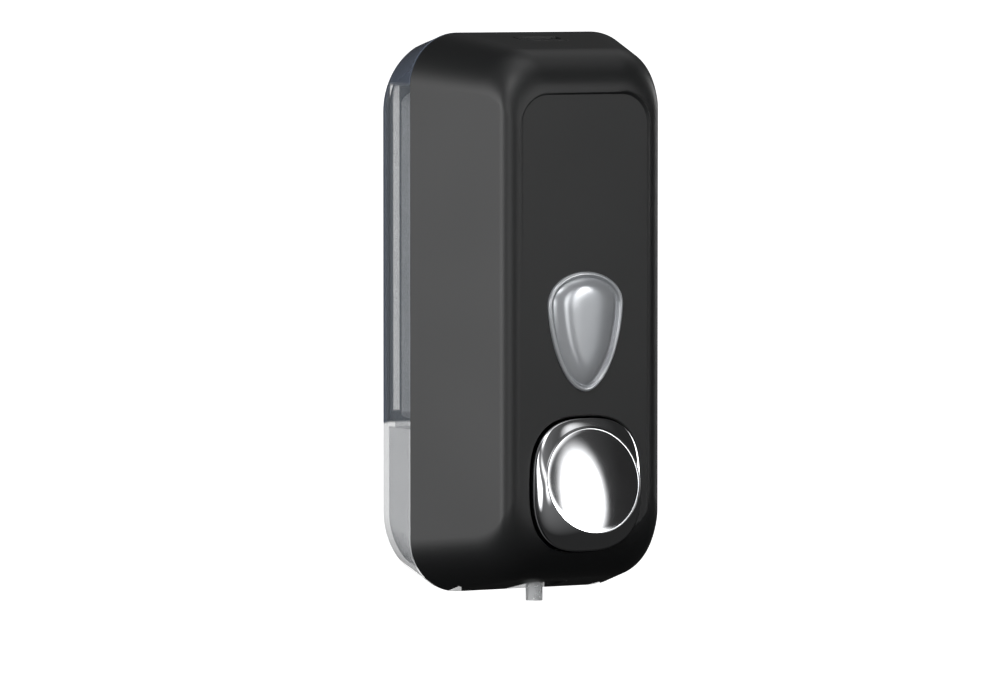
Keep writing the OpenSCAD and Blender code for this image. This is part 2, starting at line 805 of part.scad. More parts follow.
lid_edge = 4;
lid_plug = 4;
lid_plug_t = 1.2;
lid_tab_x = 6;
lid_tab = [3, 7];

// Lid that plugs the filling mouth
module tank_lid() color("white", 0.6) {
    block([-mouth_x - lid_edge, mouth_x + lid_edge], [mouth[0] - lid_edge, mouth[1] + lid_edge],
        [tank_top_z, tank_top_z + lid_t]);
    difference() {
        block([-mouth_x + 0.2, mouth_x - 0.2], [mouth[0] + 0.2, mouth[1] - 0.2],
            [tank_top_z - lid_plug, tank_top_z + eps]);
        block([-mouth_x + 0.2 + lid_plug_t, mouth_x - 0.2 - lid_plug_t],
            [mouth[0] + 0.2 + lid_plug_t, mouth[1] - 0.2 - lid_plug_t],
            [tank_top_z - lid_plug - 1, tank_top_z]);
    }
    block([-lid_tab_x, lid_tab_x], [mouth[1] + lid_tab[0], mouth[1] + lid_tab[1]],
        [tank_top_z + lid_t / 2, tank_top_z + lid_t]);
}

// ---------- pump ----------

gasket_t = 1;
neck_end_z = tank_floor_z - neck_l;
flange_t = 1.5;
inlet_r = 7.5;
inlet_bore_r = 5;
duct_r = 6.5;
duct_bore_r = 4;
sump = 0.8;
outlet_bore_r = 3.2;
outlet_end_z = button_z - chamber_r - 10;

module neck_gasket() color("dimgray") {
    difference() {
        rod_z(neck_r - fit, neck_end_z - gasket_t, neck_end_z, neck_d);
        rod_z(neck_bore_r, neck_end_z - 2, neck_end_z + 1, neck_d);
    }
}

// Union nut that pulls the pump's flange against the neck
module pump_nut() color("white") {
    flange_low = neck_end_z - gasket_t - flange_t;
    nut_r = 12.5;
    difference() {
        rod_z(nut_r, flange_low - 2, tank_floor_z - 0.5, neck_d);
        rod_z(neck_r + fit, flange_low, tank_floor_z, neck_d);
        rod_z(inlet_r + 0.2, flange_low - 3, flange_low + 1, neck_d);
        for (a = [0:20:340]) {
            translate([(nut_r + 0.5) * cos(a), -neck_d + (nut_r + 0.5) * sin(a), flange_low - 3])
                cylinder(r = 0.9, h = neck_l + 8);
        }
    }
}

// Elbow from the neck to the chamber, and the outlet below the chamber
module pump_body() color("whitesmoke") {
    flange_top = neck_end_z - gasket_t;
    difference() {
        union() {
            rod_z(neck_r - fit, flange_top - flange_t, flange_top, neck_d);
            rod_z(inlet_r, button_z - duct_r - sump, flange_top, neck_d);
            rod_y(duct_r, neck_d, chamber_back_d + 1, 0, button_z);
            rod_y(chamber_r, chamber_back_d, membrane_d, 0, button_z);
            rod_z(outlet_r, outlet_end_z, button_z, nozzle_d);
        }
        rod_z(inlet_bore_r, button_z - duct_bore_r - sump, flange_top + 1, neck_d);
        rod_y(duct_bore_r, neck_d, chamber_back_d + pump_wall + 1, 0, button_z);
        rod_y(chamber_r - pump_wall, chamber_back_d + pump_wall, membrane_d + 1, 0, button_z);
        rod_z(outlet_bore_r, outlet_end_z - 1, button_z, nozzle_d);
    }
}

// Flap over the duct, held by its stem
module inlet_valve() color("lightsteelblue") {
    seat = chamber_back_d + pump_wall;
    rod_y(duct_bore_r + 1.5, seat, seat + 0.8, 0, button_z);
    rod_y(duct_bore_r - fit, seat - 4, seat + eps, 0, button_z);
}

// Silicone dome that the stem presses
module pump_membrane() color("lightsteelblue") {
    bulge = (pow(dome_r, 2) + pow(dome_h, 2)) / (2 * dome_h);
    difference() {
        union() {
            rod_y(chamber_r, membrane_d, membrane_d + membrane_t, 0, button_z);
            translate([0, -membrane_d, button_z]) rotate([90, 0, 0]) dome_cap(bulge, dome_h);
        }
        translate([0, -membrane_d, button_z]) rotate([90, 0, 0]) dome_cap(bulge - membrane_t, dome_h - membrane_t);
        rod_y(dome_r - membrane_t - 0.6, membrane_d - 1, membrane_d + eps, 0, button_z);
    }
}

// Cap of a sphere that stands on the plane Z = 0
module dome_cap(r, h) {
    intersection() {
        translate([0, 0, h - r]) sphere(r = r);
        translate([0, 0, -eps]) cylinder(r = r, h = h + 1);
    }
}

ring_wall = 1.7;
ring_back = 3;
ring_front = 2;

// Ring that clamps the membrane's rim on the chamber
module membrane_ring() color("white") {
    top_d = membrane_d + membrane_t;
    difference() {
        rod_y(chamber_r + ring_wall, membrane_d - ring_back, top_d + ring_front, 0, button_z);
        rod_y(chamber_r + fit, membrane_d - ring_back - 1, top_d, 0, button_z);
        rod_y(dome_r + 0.6, top_d - 1, top_d + ring_front + 1, 0, button_z);
        rod_z(outlet_r + 0.3, button_z - chamber_r - ring_wall - 2, button_z, nozzle_d);
    }
}

// Duckbill in the end of the outlet
module outlet_valve() color("lightsteelblue") {
    difference() {
        union() {
            rod_z(outlet_r, outlet_end_z - 1, outlet_end_z, nozzle_d);
            rod_z(outlet_bore_r - fit, outlet_end_z, outlet_end_z + 4, nozzle_d);
        }
        rod_z(outlet_bore_r - 1, outlet_end_z - 2, outlet_end_z + 3.4, nozzle_d);
        block([-2, 2], [nozzle_d - 0.1, nozzle_d + 0.1], [outlet_end_z + 3, outlet_end_z + 5]);
    }
}

// Clear spout, pushed over the outlet
module nozzle() color("lightgray", 0.6) {
    tip_z = -half_h - tip_below;
    cone_z = outlet_end_z - 1;
    sleeve_r = outlet_r + 1.4;
    difference() {
        union() {
            rod_z(sleeve_r, cone_z - 1, outlet_end_z + 6, nozzle_d);
            translate([0, -nozzle_d, cone_z - 5]) cylinder(r1 = tip_r, r2 = sleeve_r, h = 4 + eps);
            rod_z(tip_r, tip_z, cone_z - 5 + eps, nozzle_d);
        }
        rod_z(outlet_r + fit, cone_z, outlet_end_z + 7, nozzle_d);
        rod_z(tip_r - 1.1, tip_z - 1, cone_z + 1, nozzle_d);
    }
}

back_shell();
front_cover();
window_lens();
hinge_pins();
lock_plate();
lock_screws();
lock_bolt();
push_button();
button_carrier();
button_guide();
guide_screws();
button_spring();
tank();
tank_lid();
neck_gasket();
pump_nut();
pump_body();
inlet_valve();
pump_membrane();
membrane_ring();
outlet_valve();
nozzle();
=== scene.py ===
"""Wall-mounted push-button soap dispenser: finishes, smooth mouldings, studio and camera.

Lengths are in millimetres and "depth" is the distance from the wall, so Y = -depth.
"""

import json
import math

import bmesh
import bpy
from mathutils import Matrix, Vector


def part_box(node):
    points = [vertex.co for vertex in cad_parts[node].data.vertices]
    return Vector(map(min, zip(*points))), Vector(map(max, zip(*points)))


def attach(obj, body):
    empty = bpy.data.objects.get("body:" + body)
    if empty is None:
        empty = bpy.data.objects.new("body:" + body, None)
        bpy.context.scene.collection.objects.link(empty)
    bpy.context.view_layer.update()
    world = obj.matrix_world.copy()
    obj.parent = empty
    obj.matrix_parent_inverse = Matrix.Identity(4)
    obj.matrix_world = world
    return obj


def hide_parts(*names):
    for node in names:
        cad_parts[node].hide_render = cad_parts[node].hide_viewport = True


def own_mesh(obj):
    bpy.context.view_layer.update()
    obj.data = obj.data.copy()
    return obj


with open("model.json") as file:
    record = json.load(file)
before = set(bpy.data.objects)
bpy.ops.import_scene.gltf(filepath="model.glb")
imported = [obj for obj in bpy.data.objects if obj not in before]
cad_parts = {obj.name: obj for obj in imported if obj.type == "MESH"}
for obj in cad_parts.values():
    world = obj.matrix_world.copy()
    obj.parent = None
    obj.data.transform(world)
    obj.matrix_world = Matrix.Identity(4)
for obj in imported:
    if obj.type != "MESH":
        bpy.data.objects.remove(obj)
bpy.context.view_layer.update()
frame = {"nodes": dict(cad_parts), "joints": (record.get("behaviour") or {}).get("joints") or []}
nodes = frame["nodes"]
MM = 0.001


def extent(node):
    """Half width, smallest and largest depth, lowest and highest Z of a CAD node."""
    low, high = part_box(node)
    return high.x / MM, -high.y / MM, -low.y / MM, low.z / MM, high.z / MM


# ---------- sizes taken from the frame ----------

half_w, cover_back_d, front_d, _, half_h = extent("front_cover")
window_half_w, _, window_front_d, window_low, window_top = extent("window_lens")
button_half_w, skirt_back_d, _, skirt_low, skirt_top = extent("push_button")
_, _, guide_front_d, _, _ = extent("button_guide")
_, spring_back_d, spring_front_d, _, _ = extent("button_spring")
_, _, _, lock_plate_z, _ = extent("lock_plate")
_, _, _, bolt_low, _ = extent("lock_bolt")
_, nozzle_back_d, nozzle_front_d, _, _ = extent("nozzle")
_, _, _, neck_low, _ = extent("tank")
chamber_r, membrane_d, dome_d, _, _ = extent("pump_membrane")
_, _, _, pin_low, pin_high = extent("hinge_pins")
button_half_h = (skirt_top - skirt_low) / 2
button_z = (skirt_top + skirt_low) / 2
hinge_z = (pin_low + pin_high) / 2
hinge_d = -frame["joints"][0]["pos_m"][1] / MM
nozzle_d = (nozzle_back_d + nozzle_front_d) / 2

# ---------- sizes of the mouldings ----------

seam_gap = 0.3
seam_d = cover_back_d - seam_gap
shell_wall = 2
plate_t = 2.5
back_inset_side = 6.5
back_inset_top = 2.3
back_inset_bottom = 0.5
back_r = 29
back_bevel = 1
seam_r = 21

neck_l = 6
tank_rest_gap = 0.3
shelf_z = neck_low + neck_l - tank_rest_gap
# Painted light strips where the tank's lit edge shows: their middle, half width, foot and soft edge
painted_light_strip_x = 38.9
painted_light_strip_half_w = 1.9
painted_light_strip_rise = 2.5
painted_light_strip_edge = 0.4
# Painted shade over the smoke: it starts below the shelf, deepens towards the wall, fills the crown
painted_shade_below_shelf = 2
painted_shade_from_d = 8
painted_shade_full_d = 2
painted_shade_crown = 21

cover_wall = 2.2
panel_in_d = front_d - cover_wall
side_inset = 22.5
top_inset = 22.5
bottom_inset = 27.5
side_round = 7
top_round = 17
bottom_round = 22
panel_r = 15
recess = 0.4
recess_r = 11
recess_slope = 0.9
recess_foot = 6
seat_d = front_d - recess

screw_hole_r = 2.6
screw_dx = 52
screw_dz = 130

button_proud = 1.2
edge_d = front_d + button_proud
button_power = 2.8
button_wall = 1.8
face_r = 20.7
face_out = 5.2
face_up = 1.9
face_tilt = math.radians(10)
face_crown = 1.1
face_sink = 0.2
centre_r = 0.05
dome_sweep = math.radians(40)
dome_ledge = 0.25
dome_base = 0.5

# ---------- outlines, as points (x, z) ----------

CORNER_STEPS = 28


def arc(cx, cz, r, start, stop, steps):
    angles = [math.radians(start + (stop - start) * i / steps) for i in range(steps + 1)]
    return [(cx + r * math.cos(a), cz + r * math.sin(a)) for a in angles]


def rounded_box(w, low, high, r, steps=CORNER_STEPS):
    """Rounded rectangle from -w to w and from low to high."""
    return (
        arc(w - r, high - r, r, 0, 90, steps)
        + arc(-w + r, high - r, r, 90, 180, steps)
        + arc(-w + r, low + r, r, 180, 270, steps)
        + arc(w - r, low + r, r, 270, 360, steps)
    )


window_head = 12.5
window_wide_z = window_top - window_head
window_foot = window_wide_z - window_low
egg_taper = 1.7
egg_tip = 0.53


def egg(grow, steps=160):
    """The window's outline, round above its widest line and drawn out below, grown by grow."""
    w = window_half_w + grow
    outline = []
    for i in range(steps):
        a = 2 * math.pi * i / steps
        s, c = math.sin(a), math.cos(a)
        if s >= 0:
            outline.append((w * c, window_wide_z + (window_head + grow) * s))
        else:
            x = w * math.copysign((1 - (-s) ** egg_taper) ** egg_tip, c)
            outline.append((x, window_wide_z + (window_foot + grow) * s))
    return outline


def button_outline(grow, share=0.0, steps=160):
    """The button's oval with full corners, which turns into the round face as share goes to 1."""
    w = button_half_w * (1 - share) + face_r * share + grow
    h = button_half_h * (1 - share) + face_r * share + grow
    power = button_power * (1 - share) + 2 * share
    outline = []
    for i in range(steps):
        c, s = math.cos(2 * math.pi * i / steps), math.sin(2 * math.pi * i / steps)
        r = (abs(c / w) ** power + abs(s / h) ** power) ** (-1 / power)
        outline.append((r * c, r * s))
    return outline


def oval_slab(grow, from_d, to_d):
    """A plate of the button's outline."""
    return slab([(x, button_z + z) for x, z in button_outline(grow)], from_d, to_d)


def circle(r, z, steps=128):
    return arc(0, z, r, 0, 360 - 360 / steps, steps - 1)


def at_depth(outline, d):
    return [(x, -d, z) for x, z in outline]


def facet_lean(inset, r):
    """Lean of a facet whose rounding of radius r ends at the inset."""
    rise = front_d - r - seam_d
    return math.pi / 2 - math.atan2(rise, inset) - math.asin(r / math.hypot(inset, rise))


def inset_at(d, inset, r, m):
    """How far a facet lies inside the seam outline at a depth, under a skin of thickness m."""
    a = facet_lean(inset, r)
    centre = front_d - r
    if d < centre + (r - m) * math.sin(a):
        return (d - seam_d) * math.tan(a) + m / math.cos(a)
    return inset - math.sqrt(max(0, (r - m) ** 2 - (d - centre) ** 2))


def cover_ring(d, m, shrink=0):
    """The cover's outline at a depth, under a skin of thickness m."""
    side = inset_at(d, side_inset, side_round, m)
    r = seam_r + (panel_r - seam_r) * side / side_inset - m / 2 - shrink
    low = -half_h + inset_at(d, bottom_inset, bottom_round, m) + shrink
    high = half_h - inset_at(d, top_inset, top_round, m) - shrink
    return at_depth(rounded_box(half_w - side - shrink, low, high, r), d)


def cover_skin(from_d, to_d, m, count=48):
    """Rings that lie closer together towards the front panel."""
    depths = [to_d - (to_d - from_d) * (1 - i / count) ** 2 for i in range(count + 1)]
    return [cover_ring(d, m) for d in depths]


def shell_ring(d, m):
    """The back shell's outline at a depth, under a skin of thickness m."""
    back = 1 - d / seam_d
    r = seam_r + (back_r - seam_r) * back - m
    low = -half_h + back_inset_bottom * back + m
    high = half_h - back_inset_top * back - m
    return at_depth(rounded_box(half_w - back_inset_side * back - m, low, high, r), d)


# ---------- solids ----------


def solid(name, rings, closed=False):
    """A solid through rings of equal length; closed joins the last ring to the first."""
    n = len(rings[0])
    points = [Vector(p) * MM for ring in rings for p in ring]
    spans = len(rings) if closed else len(rings) - 1
    faces = []
    for k in range(spans):
        near, far = k * n, (k + 1) % len(rings) * n
        for i in range(n):
            j = (i + 1) % n
            faces.append((near + i, near + j, far + j, far + i))
    if not closed:
        faces.append(tuple(range(n)))
        faces.append(tuple(range(len(rings) * n - 1, (len(rings) - 1) * n - 1, -1)))
    mesh = bpy.data.meshes.new(name)
    mesh.from_pydata(points, [], faces)
    work = bmesh.new()
    work.from_mesh(mesh)
    bmesh.ops.recalc_face_normals(work, faces=work.faces)
    work.to_mesh(mesh)
    work.free()
    made = bpy.data.objects.new(name, mesh)
    bpy.context.collection.objects.link(made)
    return made


def slab(outline, from_d, to_d):
    return solid("slab", [at_depth(outline, from_d), at_depth(outline, to_d)])


def rod_y(r, from_d, to_d, x=0, z=0, steps=96):
    outline = [(x + px, z + pz) for px, pz in circle(r, 0, steps)]
    return slab(outline, from_d, to_d)


def rod_x(r, from_x, to_x, d, z):
    ends = [[(x, -d + u, z + v) for u, v in circle(r, 0, 64)] for x in (from_x, to_x)]
    return solid("rod", ends)


def rod_z(r, from_z, to_z, d, x=0):
    ends = [[(x + u, -d + v, z) for u, v in circle(r, 0, 64)] for z in (from_z, to_z)]
    return solid("rod", ends)


def block(x, d, z):
    corners = [(x[0], z[0]), (x[1], z[0]), (x[1], z[1]), (x[0], z[1])]
    return slab(corners, d[0], d[1])


def settle(piece):
    """Turns a piece's modifiers into its mesh."""
    graph = bpy.context.evaluated_depsgraph_get()
    graph.update()
    mesh = bpy.data.meshes.new_from_object(piece.evaluated_get(graph))
    piece.modifiers.clear()
    piece.data = mesh
    return piece


def combine(piece, how, *tools):
    """Unites, cuts or intersects a solid with others, which are used up."""
    for tool in tools:
        change = piece.modifiers.new(how, "BOOLEAN")
        change.operation = how
        change.solver = "MANIFOLD"
        change.object = tool
        settle(piece)
        bpy.data.objects.remove(tool)
    return piece


def smooth(piece, sharper_than=32):
    """Smooth shading that keeps flat faces flat and breaks at sharp edges."""
    piece.data.shade_smooth()
    piece.data.set_sharp_from_angle(angle=math.radians(sharper_than))
    even = piece.modifiers.new("even", "WEIGHTED_NORMAL")
    even.keep_sharp = True
    even.weight = 80
    return piece


def sides(a, b, side):
    """The span from a to b, or its mirror image when side is -1, lower end first."""
    return sorted((side * a, side * b))


# ---------- finishes ----------


def srgb(code):
    """An sRGB hex colour as linear RGBA."""
    parts = [int(code[i : i + 2], 16) / 255 for i in (1, 3, 5)]
    linear = [c / 12.92 if c <= 0.04045 else ((c + 0.055) / 1.055) ** 2.4 for c in parts]
    return (*linear, 1)


def add(tree, kind, inputs=None, **settings):
    """Adds a node with its settings; inputs are values or outputs, by socket name or number."""
    made = tree.nodes.new(kind)
    for key, value in settings.items():
        setattr(made, key, value)
    for key, value in (inputs or {}).items():
        if isinstance(value, bpy.types.NodeSocket):
            tree.links.new(value, made.inputs[key])
        else:
            made.inputs[key].default_value = value
    return made


def blank(name):
    """A new material with an empty node tree, and the piece's own coordinates in it."""
    look = bpy.data.materials.new(name)
    look.use_nodes = True
    look.node_tree.nodes.clear()
    place = add(look.node_tree, "ShaderNodeTexCoord")
    return look, look.node_tree, place.outputs["Object"]


def plastic(tree, inputs):
    """The surface of a material, from its shader's settings and links."""
    shader = add(tree, "ShaderNodeBsdfPrincipled", inputs)
    add(tree, "ShaderNodeOutputMaterial", {"Surface": shader.outputs[0]})


def per(size_mm):
    """Scale of a pattern whose features are size_mm across."""
    return 1 / (size_mm * MM)


def moulded_black_abs():
    """Black ABS from a spark-eroded mould: an even satin with a very fine grain.

    The real grain is about 0.05 mm; it is drawn at 0.45 mm so that it shows.
    """
    look, tree, place = blank("moulded_black_abs")
    grain = add(tree, "ShaderNodeTexNoise", {"Vector": place, "Scale": per(0.45), "Detail": 3.0})
    cloud = add(tree, "ShaderNodeTexNoise", {"Vector": place, "Scale": per(45), "Detail": 0.0})
    tone = add(
        tree,
        "ShaderNodeMix",
        {"Factor": cloud.outputs[0], "A": srgb("#161718"), "B": srgb("#18191A")},
        data_type="RGBA",
    )
    gloss = add(
        tree, "ShaderNodeMapRange", {"Value": cloud.outputs[0], "To Min": 0.41, "To Max": 0.45}
    )
    bump = add(
        tree, "ShaderNodeBump", {"Height": grain.outputs[0], "Distance": 0.01 * MM, "Strength": 1.0}
    )
    plastic(
        tree,
        {
            "Base Color": tone.outputs[2],
            "Roughness": gloss.outputs[0],
            "IOR": 1.53,
            "Normal": bump.outputs[0],
        },
    )
    return look


def smoked_clear_san():
    """Clear moulded SAN, polished: thin walls that darken where they are seen edge on.

    The back plate has painted shade above the tank's shelf, so that the tank stands out against it,
    apart from a painted light strip down each side, where the tank's lit edge shows; the crown
    has painted shade all over.
    """
    look, tree, place = blank("smoked_clear_san")
    along = add(tree, "ShaderNodeMapping", {"Vector": place, "Scale": (1, 1, 0.3)})
    flow = add(
        tree, "ShaderNodeTexNoise", {"Vector": along.outputs[0], "Scale": per(18), "Detail": 1.0}
    )
    axes = add(tree, "ShaderNodeSeparateXYZ", {"Vector": place})
    # Painted shade starts just below the tank's shelf.
    above = add(
        tree,
        "ShaderNodeMapRange",
        {
            "Value": axes.outputs["Z"],
            "From Min": (shelf_z - painted_shade_below_shelf) * MM,
            "From Max": (shelf_z - painted_shade_below_shelf + 1) * MM,
        },
    )
    # Painted shade that deepens towards the wall.
    behind = add(
        tree,
        "ShaderNodeMapRange",
        {
            "Value": axes.outputs["Y"],
            "From Min": -painted_shade_from_d * MM,
            "From Max": -painted_shade_full_d * MM,
        },
    )
    # Painted shade: the crown of the shell is darkened all over.
    crown = add(
        tree,
        "ShaderNodeMapRange",
        {
            "Value": axes.outputs["Z"],
            "From Min": (half_h - painted_shade_crown) * MM,
            "From Max": (half_h - painted_shade_crown + 2) * MM,
        },
    )
    # Painted light: a strip each side is left out of the painted shade where the tank's lit edge
    # shows
    aside = add(tree, "ShaderNodeMath", {0: axes.outputs["X"]}, operation="ABSOLUTE")
    offset = add(
        tree, "ShaderNodeMath", {0: aside.outputs[0], 1: painted_light_strip_x * MM}, operation="SUBTRACT"
    )
    gap = add(tree, "ShaderNodeMath", {0: offset.outputs[0]}, operation="ABSOLUTE")
    beside = add(
        tree,
        "ShaderNodeMapRange",
        {
            "Value": gap.outputs[0],
            "From Min": painted_light_strip_half_w * MM,
            "From Max": (painted_light_strip_half_w + painted_light_strip_edge) * MM,
        },
    )
    under = add(
        tree,
        "ShaderNodeMapRange",
        {
            "Value": axes.outputs["Z"],
            "From Min": (shelf_z + painted_light_strip_rise + 1) * MM,
            "From Max": (shelf_z + painted_light_strip_rise) * MM,
        },
    )
    painted_shade_area = add(
        tree, "ShaderNodeMath", {0: beside.outputs[0], 1: under.outputs[0]}, operation="MAXIMUM"
    )
    plate = add(
        tree, "ShaderNodeMath", {0: behind.outputs[0], 1: painted_shade_area.outputs[0]}, operation="MULTIPLY"
    )
    high = add(
        tree, "ShaderNodeMath", {0: plate.outputs[0], 1: crown.outputs[0]}, operation="MAXIMUM"
    )
    # Smoke tint and painted shade: darker above the shelf, towards the wall and in the crown.
    smoke_and_painted_shade = add(
        tree, "ShaderNodeMath", {0: above.outputs[0], 1: high.outputs[0]}, operation="MULTIPLY"
    )
    tone = add(
        tree,
        "ShaderNodeMix",
        {"Factor": smoke_and_painted_shade.outputs[0], "A": srgb("#959BA2"), "B": srgb("#626A78")},
        data_type="RGBA",
    )
    facing = add(tree, "ShaderNodeLayerWeight", {"Blend": 0.5})
    wall = add(
        tree,
        "ShaderNodeMapRange",
        {"Value": facing.outputs["Facing"], "From Min": 0.6, "To Min": 0.22, "To Max": 0.8},
    )
    density = add(
        tree,
        "ShaderNodeMath",
        {0: smoke_and_painted_shade.outputs[0], 1: 0.82, 2: wall.outputs[0]},
        operation="MULTIPLY_ADD",
        use_clamp=True,
    )
    bump = add(
        tree, "ShaderNodeBump", {"Height": flow.outputs[0], "Distance": 0.05 * MM, "Strength": 1.0}
    )
    plastic(
        tree,
        {
            "Base Color": tone.outputs[2],
            "Roughness": 0.05,
            "IOR": 1.57,
            "Specular IOR Level": 0.4,
            "Alpha": density.outputs[0],
            "Normal": bump.outputs[0],
        },
    )
    return look


def pearly_polycarbonate():
    """Moulded polycarbonate with a pearl filler: glossy outside and milky within."""
    look, tree, place = blank("pearly_polycarbonate")
    milk = add(tree, "ShaderNodeTexNoise", {"Vector": place, "Scale": per(12), "Detail": 1.0})
    tone = add(
        tree,
        "ShaderNodeMix",
        {"Factor": milk.outputs[0], "A": srgb("#C3C7CC"), "B": srgb("#CDD0D4")},
        data_type="RGBA",
    )
    bump = add(
        tree, "ShaderNodeBump", {"Height": milk.outputs[0], "Distance": 0.02 * MM, "Strength": 1.0}
    )
    plastic(
        tree,
        {
            "Base Color": tone.outputs[2],
            "Metallic": 0.35,
            "Roughness": 0.2,
            "IOR": 1.58,
            "Transmission Weight": 0.15,
            "Coat Weight": 1.0,
            "Coat Roughness": 0.03,
            "Normal": bump.outputs[0],
        },
    )
    return look


def chrome_plated_abs():
    """Bright chrome on ABS: a mirror with the slightest orange peel of the plated moulding."""
    look, tree, place = blank("chrome_plated_abs")
    peel = add(tree, "ShaderNodeTexNoise", {"Vector": place, "Scale": per(7), "Detail": 1.0})
    tone = add(
        tree,
        "ShaderNodeMix",
        {"Factor": peel.outputs[0], "A": srgb("#E6E7EA"), "B": srgb("#EEEFF1")},
        data_type="RGBA",
    )
    gloss = add(
        tree, "ShaderNodeMapRange", {"Value": peel.outputs[0], "To Min": 0.05, "To Max": 0.07}
    )
    bump = add(
        tree, "ShaderNodeBump", {"Height": peel.outputs[0], "Distance": 0.004 * MM, "Strength": 1.0}
    )
    plastic(
        tree,
        {
            "Base Color": tone.outputs[2],
            "Metallic": 1.0,
            "Roughness": gloss.outputs[0],
            "Normal": bump.outputs[0],
        },
    )
    return look


def frosted_polyethylene():
    """Natural blow-moulded polyethylene: milky, see-through only as a glow, softly uneven."""
    look, tree, place = blank("frosted_polyethylene")
    cloud = add(tree, "ShaderNodeTexNoise", {"Vector": place, "Scale": per(14), "Detail": 2.0})
    tone = add(
        tree,
        "ShaderNodeMix",
        {"Factor": cloud.outputs[0], "A": srgb("#DFE3E7"), "B": srgb("#EFF1F3")},
        data_type="RGBA",
    )
    bump = add(
        tree, "ShaderNodeBump", {"Height": cloud.outputs[0], "Distance": 0.12 * MM, "Strength": 1.0}
    )
    plastic(
        tree,
        {
            "Base Color": tone.outputs[2],
            "Roughness": 0.42,
            "IOR": 1.51,
            "Transmission Weight": 0.1,
            "Normal": bump.outputs[0],
        },
    )
    return look


def white_acetal():
    """White acetal homopolymer: opaque, waxy half-gloss of a fine moulded surface."""
    look, tree, place = blank("white_acetal")
    cloud = add(tree, "ShaderNodeTexNoise", {"Vector": place, "Scale": per(5), "Detail": 2.0})
    fine = add(tree, "ShaderNodeTexNoise", {"Vector": place, "Scale": per(0.5), "Detail": 2.0})
    tone = add(
        tree,
        "ShaderNodeMix",
        {"Factor": cloud.outputs[0], "A": srgb("#E4E4DF"), "B": srgb("#F1F1ED")},
        data_type="RGBA",
    )
    gloss = add(
        tree, "ShaderNodeMapRange", {"Value": cloud.outputs[0], "To Min": 0.27, "To Max": 0.37}
    )
    bump = add(
        tree, "ShaderNodeBump", {"Height": fine.outputs[0], "Distance": 0.004 * MM, "Strength": 1.0}
    )
    plastic(
        tree,
        {
            "Base Color": tone.outputs[2],
            "Roughness": gloss.outputs[0],
            "IOR": 1.48,
            "Normal": bump.outputs[0],
        },
    )
    return look


def glass_filled_nylon():
    """Moulded charcoal nylon with glass fibre: matt, with short light streaks of surface fibres.

    The real fibres are about 0.01 mm thick; they are drawn 0.8 mm apart so that they show.
    """
    look, tree, place = blank("glass_filled_nylon")
    along = add(tree, "ShaderNodeMapping", {"Vector": place, "Scale": (1, 6, 1)})
    fibre = add(
        tree, "ShaderNodeTexNoise", {"Vector": along.outputs[0], "Scale": per(0.8), "Detail": 3.0}
    )
    tone = add(
        tree,
        "ShaderNodeMix",
        {"Factor": fibre.outputs[0], "A": srgb("#202022"), "B": srgb("#38383B")},
        data_type="RGBA",
    )
    bump = add(
        tree, "ShaderNodeBump", {"Height": fibre.outputs[0], "Distance": 0.02 * MM, "Strength": 1.0}
    )
    plastic(
        tree,
        {
            "Base Color": tone.outputs[2],
            "Roughness": 0.55,
            "IOR": 1.53,
            "Normal": bump.outputs[0],
        },
    )
    return look


def zinc_plated_steel():
    """Blue-passivated zinc plate on steel: grey with a faint cool crystal mottling."""
    look, tree, place = blank("zinc_plated_steel")
    crystal = add(tree, "ShaderNodeTexVoronoi", {"Vector": place, "Scale": per(0.7)})
    tone = add(
        tree,
        "ShaderNodeMix",
        {"Factor": crystal.outputs["Distance"], "A": srgb("#A9AEB6"), "B": srgb("#C6CAD0")},
        data_type="RGBA",
    )
    gloss = add(
        tree,
        "ShaderNodeMapRange",
        {"Value": crystal.outputs["Distance"], "To Min": 0.25, "To Max": 0.42},
    )
    plastic(
        tree, {"Base Color": tone.outputs[2], "Metallic": 1.0, "Roughness": gloss.outputs[0]}
    )
    return look


def drawn_spring_wire():
    """Drawn spring steel: dark bright wire with fine lines from the die.

    The lines are drawn 0.2 mm apart, ten times their real spacing, so that they show.
    """
    look, tree, place = blank("drawn_spring_wire")
    along = add(tree, "ShaderNodeMapping", {"Vector": place, "Scale": (1, 1, 4)})
    lines = add(
        tree, "ShaderNodeTexNoise", {"Vector": along.outputs[0], "Scale": per(0.2), "Detail": 2.0}
    )
    tone = add(
        tree,
        "ShaderNodeMix",
        {"Factor": lines.outputs[0], "A": srgb("#85888D"), "B": srgb("#A3A6AB")},
        data_type="RGBA",
    )
    gloss = add(
        tree, "ShaderNodeMapRange", {"Value": lines.outputs[0], "To Min": 0.2, "To Max": 0.4}
    )
    plastic(
        tree, {"Base Color": tone.outputs[2], "Metallic": 1.0, "Roughness": gloss.outputs[0]}
    )
    return look


def translucent_silicone():
    """Moulded silicone rubber: cloudy, soft and slightly dusty to the eye."""
    look, tree, place = blank("translucent_silicone")
    dust = add(tree, "ShaderNodeTexNoise", {"Vector": place, "Scale": per(1.2), "Detail": 3.0})
    tone = add(
        tree,
        "ShaderNodeMix",
        {"Factor": dust.outputs[0], "A": srgb("#CBD2D8"), "B": srgb("#DDE2E6")},
        data_type="RGBA",
    )
    gloss = add(
        tree, "ShaderNodeMapRange", {"Value": dust.outputs[0], "To Min": 0.38, "To Max": 0.55}
    )
    bump = add(
        tree, "ShaderNodeBump", {"Height": dust.outputs[0], "Distance": 0.02 * MM, "Strength": 1.0}
    )
    plastic(
        tree,
        {
            "Base Color": tone.outputs[2],
            "Roughness": gloss.outputs[0],
            "IOR": 1.41,
            "Transmission Weight": 0.45,
            "Normal": bump.outputs[0],
        },
    )
    return look


